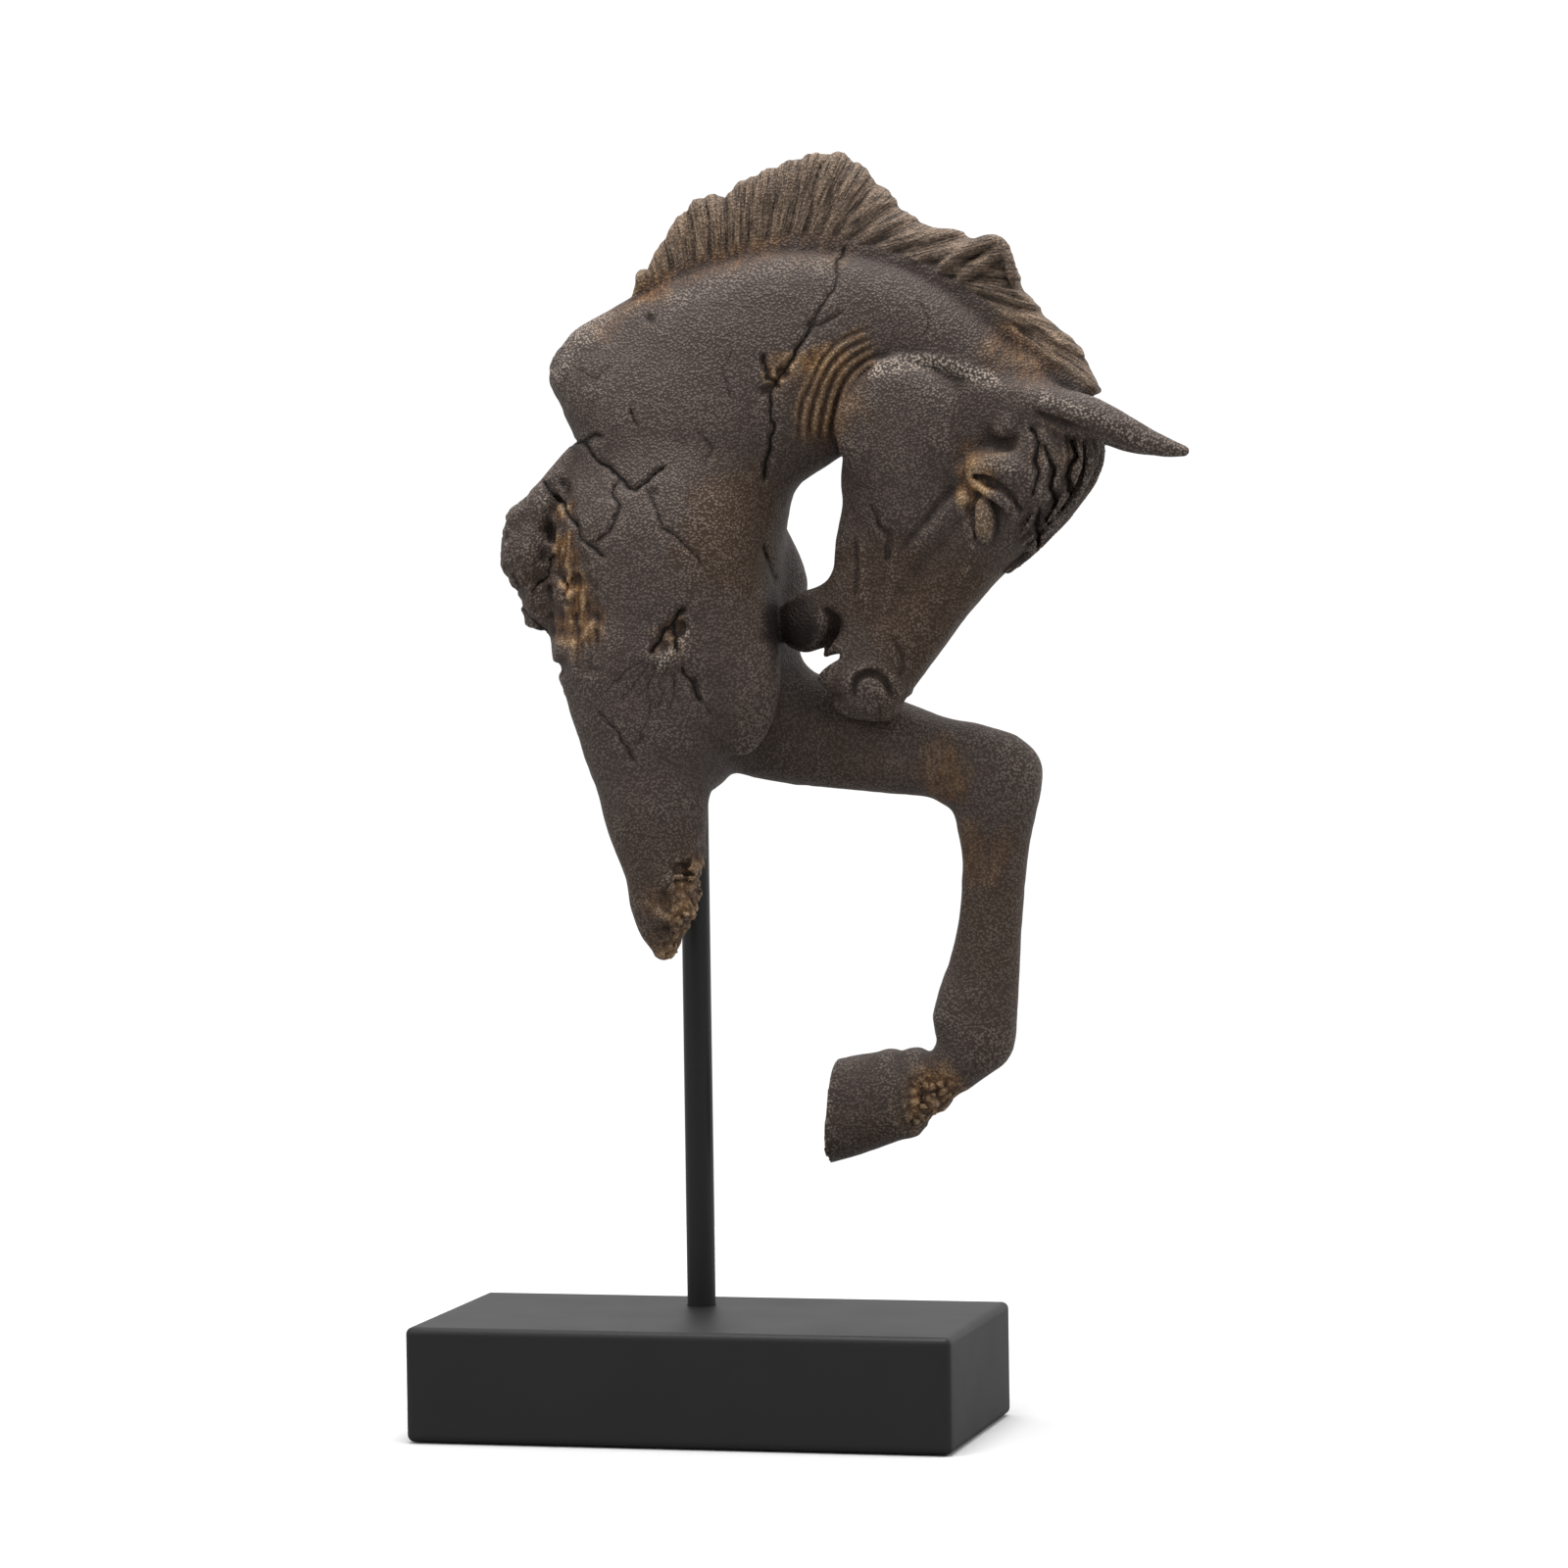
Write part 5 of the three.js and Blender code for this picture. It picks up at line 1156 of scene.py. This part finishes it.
rings += [hole_ring(hole + 1, BLOCK_HEIGHT), hole_ring(hole, BLOCK_HEIGHT), hole_ring(hole, BLOCK_HEIGHT - 1)]
rings += [hole_ring(hole, ROD_BOTTOM - CLEARANCE), hole_ring(0.5, ROD_BOTTOM - CLEARANCE)]
block = loft("painted_block", rings)
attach(block, "root")
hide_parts("base")
print("block and rod:", len(block.data.polygons), len(rod.data.polygons), "faces")

# %% [markdown]
# ## Materials
# Every finish starts from what the real one is. Colours are written as sRGB hex and turned to the
# linear values that the shader wants, and pattern sizes are written in millimetres.

# %% Colour and node helpers
def linear(hexa):
    channels = [int(hexa[i:i + 2], 16) / 255 for i in (1, 3, 5)]
    return tuple(c / 12.92 if c <= 0.04045 else ((c + 0.055) / 1.055) ** 2.4 for c in channels) + (1.0,)


def per_metre(size_mm):
    """Texture scale that repeats once in this many millimetres."""
    return 1 / (size_mm * MM)


def add(tree, kind, settings=None, inputs=None):
    """Adds a node. An input's value is either a plain value or another node's output."""
    node = tree.nodes.new(kind)
    for key, value in (settings or {}).items():
        setattr(node, key, value)
    for key, value in (inputs or {}).items():
        if isinstance(value, bpy.types.NodeSocket):
            tree.links.new(node.inputs[key], value)
        else:
            node.inputs[key].default_value = value
    return node.outputs


# The node kinds that are used most, each with its settings.
MIX = ("ShaderNodeMix", {"data_type": "RGBA"})
TIMES = ("ShaderNodeMath", {"operation": "MULTIPLY"})
TIMES_TO_ONE = ("ShaderNodeMath", {"operation": "MULTIPLY", "use_clamp": True})
TIMES_PLUS = ("ShaderNodeMath", {"operation": "MULTIPLY_ADD"})
RANGE, NOISE, BUMP = ("ShaderNodeMapRange", None), ("ShaderNodeTexNoise", None), ("ShaderNodeBump", None)


def new_finish(name):
    material = bpy.data.materials.new(name)
    material.use_nodes = True
    tree = material.node_tree
    return material, tree, tree.nodes["Principled BSDF"].inputs


def paint(obj, material):
    obj.data.materials.clear()
    obj.data.materials.append(material)


# %% [markdown]
# ### Cold-cast resin, pebbled and washed
# Cold-cast resin is polyester filled with stone powder. It was moulded with a pebbled skin, painted
# charcoal brown, washed with rust-gold and wiped. The finish gets a dull stone-like grain, a painted
# highlight on the pebble tops and rims, and dark warm painted shade in hollows and between pebbles.

# %% Resin: what the mesh tells the finish
TOLD = "hollow ridge gold brown rubbed beside_crack by_crack hair round_fan up_fan".split()
resin, tree, shader = new_finish("cold_cast_resin")
place_in_metres = add(tree, "ShaderNodeTexCoord")["Object"]
told = {name: add(tree, "ShaderNodeAttribute", {"attribute_name": name})["Fac"] for name in TOLD}

# %% Resin: pebbles, specks and clouds
# The moulded grit is about half a millimetre, which is too fine to show in the render, so pebbles
# and specks are drawn two to three times as coarse.
PEBBLE_MM, SPECK_MM, CLOUD_MM = 1.15, 1.5, 20
GAP_SHADE = 0.42
pebble = add(tree, "ShaderNodeTexVoronoi", {"feature": "SMOOTH_F1"},
             {"Vector": place_in_metres, "Scale": per_metre(PEBBLE_MM), "Smoothness": 0.35})["Distance"]
speck = add(tree, *NOISE, {"Vector": place_in_metres, "Scale": per_metre(SPECK_MM),
                           "Detail": 4.0, "Roughness": 0.65})["Fac"]
cloud = add(tree, *NOISE, {"Vector": place_in_metres, "Scale": per_metre(CLOUD_MM),
                           "Detail": 4.0, "Roughness": 0.6})["Fac"]
top_of_pebble = add(tree, *RANGE, {"Value": pebble, "From Min": 0.62, "From Max": 0.12})[0]
# The gaps between pebbles are painted dark: painted shade.
shade_between_pebbles = add(tree, *RANGE, {"Value": pebble, "From Min": 0.38, "From Max": 0.62})[0]
shade_between_pebbles = add(tree, *TIMES, {0: shade_between_pebbles, 1: GAP_SHADE})[0]

# %% Resin: streaks along the hair
# A streak is about a millimetre wide, and changes slowly along its lock.
STREAK_MM, ALONG_STREAK, IN_HAIR = 0.9, 0.07, 0.8
streak_at = add(tree, "ShaderNodeCombineXYZ", None, {
    "X": add(tree, *TIMES, {0: told["round_fan"], 1: 1 / STREAK_MM})[0],
    "Y": add(tree, *TIMES, {0: told["up_fan"], 1: ALONG_STREAK})[0],
})[0]
streak = add(tree, *NOISE, {"Vector": streak_at, "Scale": 1.0, "Detail": 3.0, "Roughness": 0.6})["Fac"]
streak = add(tree, *RANGE, {"Value": streak, "From Min": 0.32, "From Max": 0.68})[0]
between_hairs = add(tree, *TIMES, {0: told["hair"], 1: streak})[0]
in_hair = add(tree, *TIMES, {0: told["hair"], 1: IN_HAIR})[0]

# %% Resin: crack lines finer than the mesh
RAGGED_MM, LINE_OUTSIDE, LINE_INSIDE = 1.6, 0.6, 0.15
ragged = add(tree, *TIMES_PLUS, {0: speck, 1: RAGGED_MM, 2: -RAGGED_MM / 2})[0]
off_line = add(tree, "ShaderNodeMath", {"operation": "ADD"}, {0: told["beside_crack"], 1: ragged})[0]
off_line = add(tree, "ShaderNodeMath", {"operation": "ABSOLUTE"}, {0: off_line})[0]
line = add(tree, "ShaderNodeMapRange", {"interpolation_type": "SMOOTHSTEP"},
           {"Value": off_line, "From Min": LINE_OUTSIDE, "From Max": LINE_INSIDE})[0]
line = add(tree, *TIMES, {0: line, 1: told["by_crack"]})[0]

# %% Resin: rust-gold wash, drawn out along upright fibres
GOLD_DARK, GOLD, GOLD_LIGHT = "#4a2f1a", "#966c40", "#cda678"
FIBRE_MM, FIBRE_STRETCH = 1.4, (1, 0.5, 0.16)
along = add(tree, "ShaderNodeVectorMath", {"operation": "MULTIPLY"},
            {0: place_in_metres, 1: FIBRE_STRETCH})[0]
fibre = add(tree, *NOISE, {"Vector": along, "Scale": per_metre(FIBRE_MM),
                           "Detail": 3.0, "Roughness": 0.6})["Fac"]
fibre = add(tree, *RANGE, {"Value": fibre, "From Min": 0.38, "From Max": 0.62})[0]
washed = add(tree, *MIX, {0: fibre, 6: linear(GOLD_DARK), 7: linear(GOLD)})[2]
# Ridges of the gold wash are painted lighter: a painted highlight.
washed = add(tree, *MIX, {0: told["ridge"], 6: washed, 7: linear(GOLD_LIGHT)})[2]
patchy = add(tree, *RANGE, {"Value": cloud, "From Min": 0.3, "From Max": 0.6,
                            "To Min": 0.35, "To Max": 1.0})[0]
patchy = add(tree, *TIMES, {0: patchy, 1: told["gold"]})[0]

# %% Resin: painted highlight on pebble tops and rims, painted shade in hollows
RIDGE_HIGHLIGHT, HIGHLIGHT_GAIN, HOLLOW_SHADE = 0.3, 2.6, 0.8
# Pebble tops are painted paler where the specks are high: a painted highlight.
pebble_highlight = add(tree, *TIMES, {0: top_of_pebble, 1: speck})[0]
# Ridges and rims get pale paint on their pebble tops: a painted highlight.
rubbed = add(tree, *TIMES_PLUS, {0: told["ridge"], 1: RIDGE_HIGHLIGHT, 2: told["rubbed"]})[0]
rubbed = add(tree, *TIMES, {0: rubbed, 1: pebble_highlight})[0]
rubbed = add(tree, *TIMES_TO_ONE, {0: rubbed, 1: HIGHLIGHT_GAIN})[0]
# Hollows are painted dark: painted shade.
shade_in_hollows = add(tree, *TIMES_TO_ONE, {0: told["hollow"], 1: HOLLOW_SHADE})[0]

# %% Resin: colour, coat over coat
# The two paler colours are for painted highlights, on pebble tops and on rims.
CHARCOAL, STONE, PEBBLE_HIGHLIGHT, HIGHLIGHT_PALE, BROWN = "#483d39", "#5e514a", "#6f625b", "#bcad9f", "#54402f"
HAIR_DARK, HAIR_LIGHT = "#150e09", "#b59a82"
# The dark colour of painted shade, used in hollows and between pebbles.
PAINTED_SHADE, CRACK_DARK = "#241a15", "#0f0b09"
combed = add(tree, *MIX, {0: streak, 6: linear(HAIR_DARK), 7: linear(HAIR_LIGHT)})[2]
# Among these coats, the pale pebble tops and rims are painted highlight, and the dark pebble gaps and hollows
# are painted shade.
coats = [
    (told["brown"], linear(BROWN)), (pebble_highlight, linear(PEBBLE_HIGHLIGHT)), (patchy, washed), (rubbed, linear(HIGHLIGHT_PALE)),
    (in_hair, combed), (shade_between_pebbles, linear(PAINTED_SHADE)), (shade_in_hollows, linear(PAINTED_SHADE)), (line, linear(CRACK_DARK)),
]
colour = add(tree, *MIX, {0: cloud, 6: linear(CHARCOAL), 7: linear(STONE)})[2]
for share, coat in coats:
    colour = add(tree, *MIX, {0: share, 6: colour, 7: coat})[2]
tree.links.new(shader["Base Color"], colour)

# %% Resin: roughness and relief
PEBBLE_RELIEF, SPECK_RELIEF, HAIR_RELIEF, CRACK_RELIEF = 0.45, 0.3, 0.7, 1.0
tree.links.new(shader["Roughness"], add(tree, *RANGE, {"Value": speck, "To Min": 0.45, "To Max": 0.75})[0])
shader["IOR"].default_value = 1.5
shader["Specular IOR Level"].default_value = 0.3
normal = add(tree, *BUMP, {"Height": top_of_pebble, "Distance": PEBBLE_RELIEF * MM, "Strength": 0.9})[0]
for height, relief, strength in ((speck, SPECK_RELIEF, 0.7), (between_hairs, HAIR_RELIEF, 0.8)):
    normal = add(tree, *BUMP, {"Height": height, "Distance": relief * MM,
                               "Strength": strength, "Normal": normal})[0]
normal = add(tree, "ShaderNodeBump", {"invert": True},
             {"Height": line, "Distance": CRACK_RELIEF * MM, "Strength": 1.0, "Normal": normal})[0]
tree.links.new(shader["Normal"], normal)
paint(horse, resin)
print("resin nodes:", len(tree.nodes))

# %% [markdown]
# ### Satin black paint
# The block and the rod are sprayed satin black. A sprayed coat is never quite flat: a fine orange
# peel and faint clouds of gloss show in the broad reflections.

# %% Paint finish
PAINT_CLOUD_MM, PAINT_SPREAD, PEEL_RELIEF = 35, 0.06, 0.05


def satin_paint(name, dark, light, roughness, peel_mm):
    material, tree, shader = new_finish(name)
    place = add(tree, "ShaderNodeTexCoord")["Object"]
    cloud, peel = [
        add(tree, *NOISE, {"Vector": place, "Scale": per_metre(size), "Detail": detail})["Fac"]
        for size, detail in ((PAINT_CLOUD_MM, 3.0), (peel_mm, 2.0))]
    colour = add(tree, *MIX, {0: cloud, 6: linear(dark), 7: linear(light)})[2]
    low, high = roughness - PAINT_SPREAD, roughness + PAINT_SPREAD
    rough = add(tree, *RANGE, {"Value": cloud, "To Min": low, "To Max": high})[0]
    normal = add(tree, *BUMP, {"Height": peel, "Distance": PEEL_RELIEF * MM, "Strength": 0.15})[0]
    for name, found in (("Base Color", colour), ("Roughness", rough), ("Normal", normal)):
        tree.links.new(shader[name], found)
    shader["IOR"].default_value = 1.5
    shader["Specular IOR Level"].default_value = 0.42
    return material


paint(block, satin_paint("satin_black_paint", "#1c1c1c", "#232323", 0.5, 1.2))
paint(rod, satin_paint("black_rod_paint", "#191919", "#202020", 0.45, 0.9))

# %% [markdown]
# ## Camera, floor and light
# The photograph was taken with a long lens from the front left, slightly above. The pose of the
# camera was worked out from the seven visible corners of the block.

# %% Camera
CAMERA_PLACE = (0.632845, -2.376160, 0.374360)
YAW, PITCH, ROLL = math.radians(14.119), math.radians(2.419), math.radians(-0.816)
forward = Vector((-math.sin(YAW) * math.cos(PITCH), math.cos(YAW) * math.cos(PITCH), -math.sin(PITCH)))
right = Vector((math.cos(YAW), math.sin(YAW), 0))
up = right.cross(forward)
right, up = right * math.cos(ROLL) + up * math.sin(ROLL), up * math.cos(ROLL) - right * math.sin(ROLL)
lens = bpy.data.cameras.new("camera")
lens.lens, lens.sensor_width = 135, 36
lens.clip_start, lens.clip_end = 0.05, 60
camera = link(bpy.data.objects.new("camera", lens))
camera.matrix_world = Matrix((
    (right.x, up.x, -forward.x, CAMERA_PLACE[0]),
    (right.y, up.y, -forward.y, CAMERA_PLACE[1]),
    (right.z, up.z, -forward.z, CAMERA_PLACE[2]),
    (0, 0, 0, 1),
))
bpy.context.scene.camera = camera

# %% Floor
FLOOR_HALF, FLOOR_Z = 0.7, -0.0005
corners = [(sx * FLOOR_HALF, sy * FLOOR_HALF, FLOOR_Z) for sx, sy in ((-1, -1), (1, -1), (1, 1), (-1, 1))]
floor = mesh_object("floor", corners, [(0, 1, 2, 3)])
floor_paint, tree, shader = new_finish("white_floor")
# The floor looks white, but throws little light back up, as with black cards laid round the set.
FLOOR_WHITE, FLOOR_SHADE, FLOOR_BOUNCE = "#fcfcfc", "#f9f9f9", "#a1a1a1"
place = add(tree, "ShaderNodeTexCoord")["Object"]
shade = add(tree, *NOISE, {"Vector": place, "Scale": 3.0})["Fac"]
tint = add(tree, *MIX, {0: shade, 6: linear(FLOOR_WHITE), 7: linear(FLOOR_SHADE)})[2]
seen = add(tree, "ShaderNodeLightPath")["Is Camera Ray"]
tint = add(tree, *MIX, {0: seen, 6: linear(FLOOR_BOUNCE), 7: tint})[2]
tree.links.new(shader["Base Color"], tint)
shader["Roughness"].default_value = 0.9
shader["Specular IOR Level"].default_value = 0.0
paint(floor, floor_paint)


# %% Lamps
AIM = Vector((0.03, 0.02, 0.33))


def area_light(name, place, size, power):
    light = bpy.data.lights.new(name, "AREA")
    light.shape, light.size, light.energy = "DISK", size, power
    obj = link(bpy.data.objects.new(name, light))
    obj.location = place
    obj.rotation_euler = (AIM - Vector(place)).to_track_quat("-Z", "Y").to_euler()


area_light("near_top_light", (0.0, -0.15, 1.3), 0.6, 8)
area_light("left_light", (-1.5, -1.6, 1.5), 1.4, 12)
area_light("high_light", (0.25, 0.3, 1.7), 1.1, 8)

# %% [markdown]
# The surroundings are white overhead and behind, and darker behind the camera, which is what makes
# the front of the block nearly black while its top and right side stay grey. What the camera sees
# past the object is plain white.

# %% Surroundings
DIM, BRIGHT, BACKDROP = 0.33, 0.83, 1.05
BRIGHT_WAY = (0.25, 0.6, 0.45)
world = bpy.data.worlds.new("studio")
bpy.context.scene.world = world
world.use_nodes = True
sky = world.node_tree
way = add(sky, "ShaderNodeTexCoord")["Generated"]
lean = add(sky, "ShaderNodeVectorMath", {"operation": "DOT_PRODUCT"}, {0: way, 1: BRIGHT_WAY})["Value"]
glow = {"Value": lean, "From Min": -0.55, "From Max": 0.5, "To Min": DIM, "To Max": BRIGHT}
glow = add(sky, *RANGE, glow)[0]
seen = add(sky, "ShaderNodeLightPath")["Is Camera Ray"]
strength = add(sky, "ShaderNodeMix", {"data_type": "FLOAT"}, {0: seen, 2: glow, 3: BACKDROP})[0]
sky.nodes["Background"].inputs["Color"].default_value = (1, 1, 1, 1)
sky.links.new(sky.nodes["Background"].inputs["Strength"], strength)
bpy.context.scene.view_settings.view_transform = "Standard"
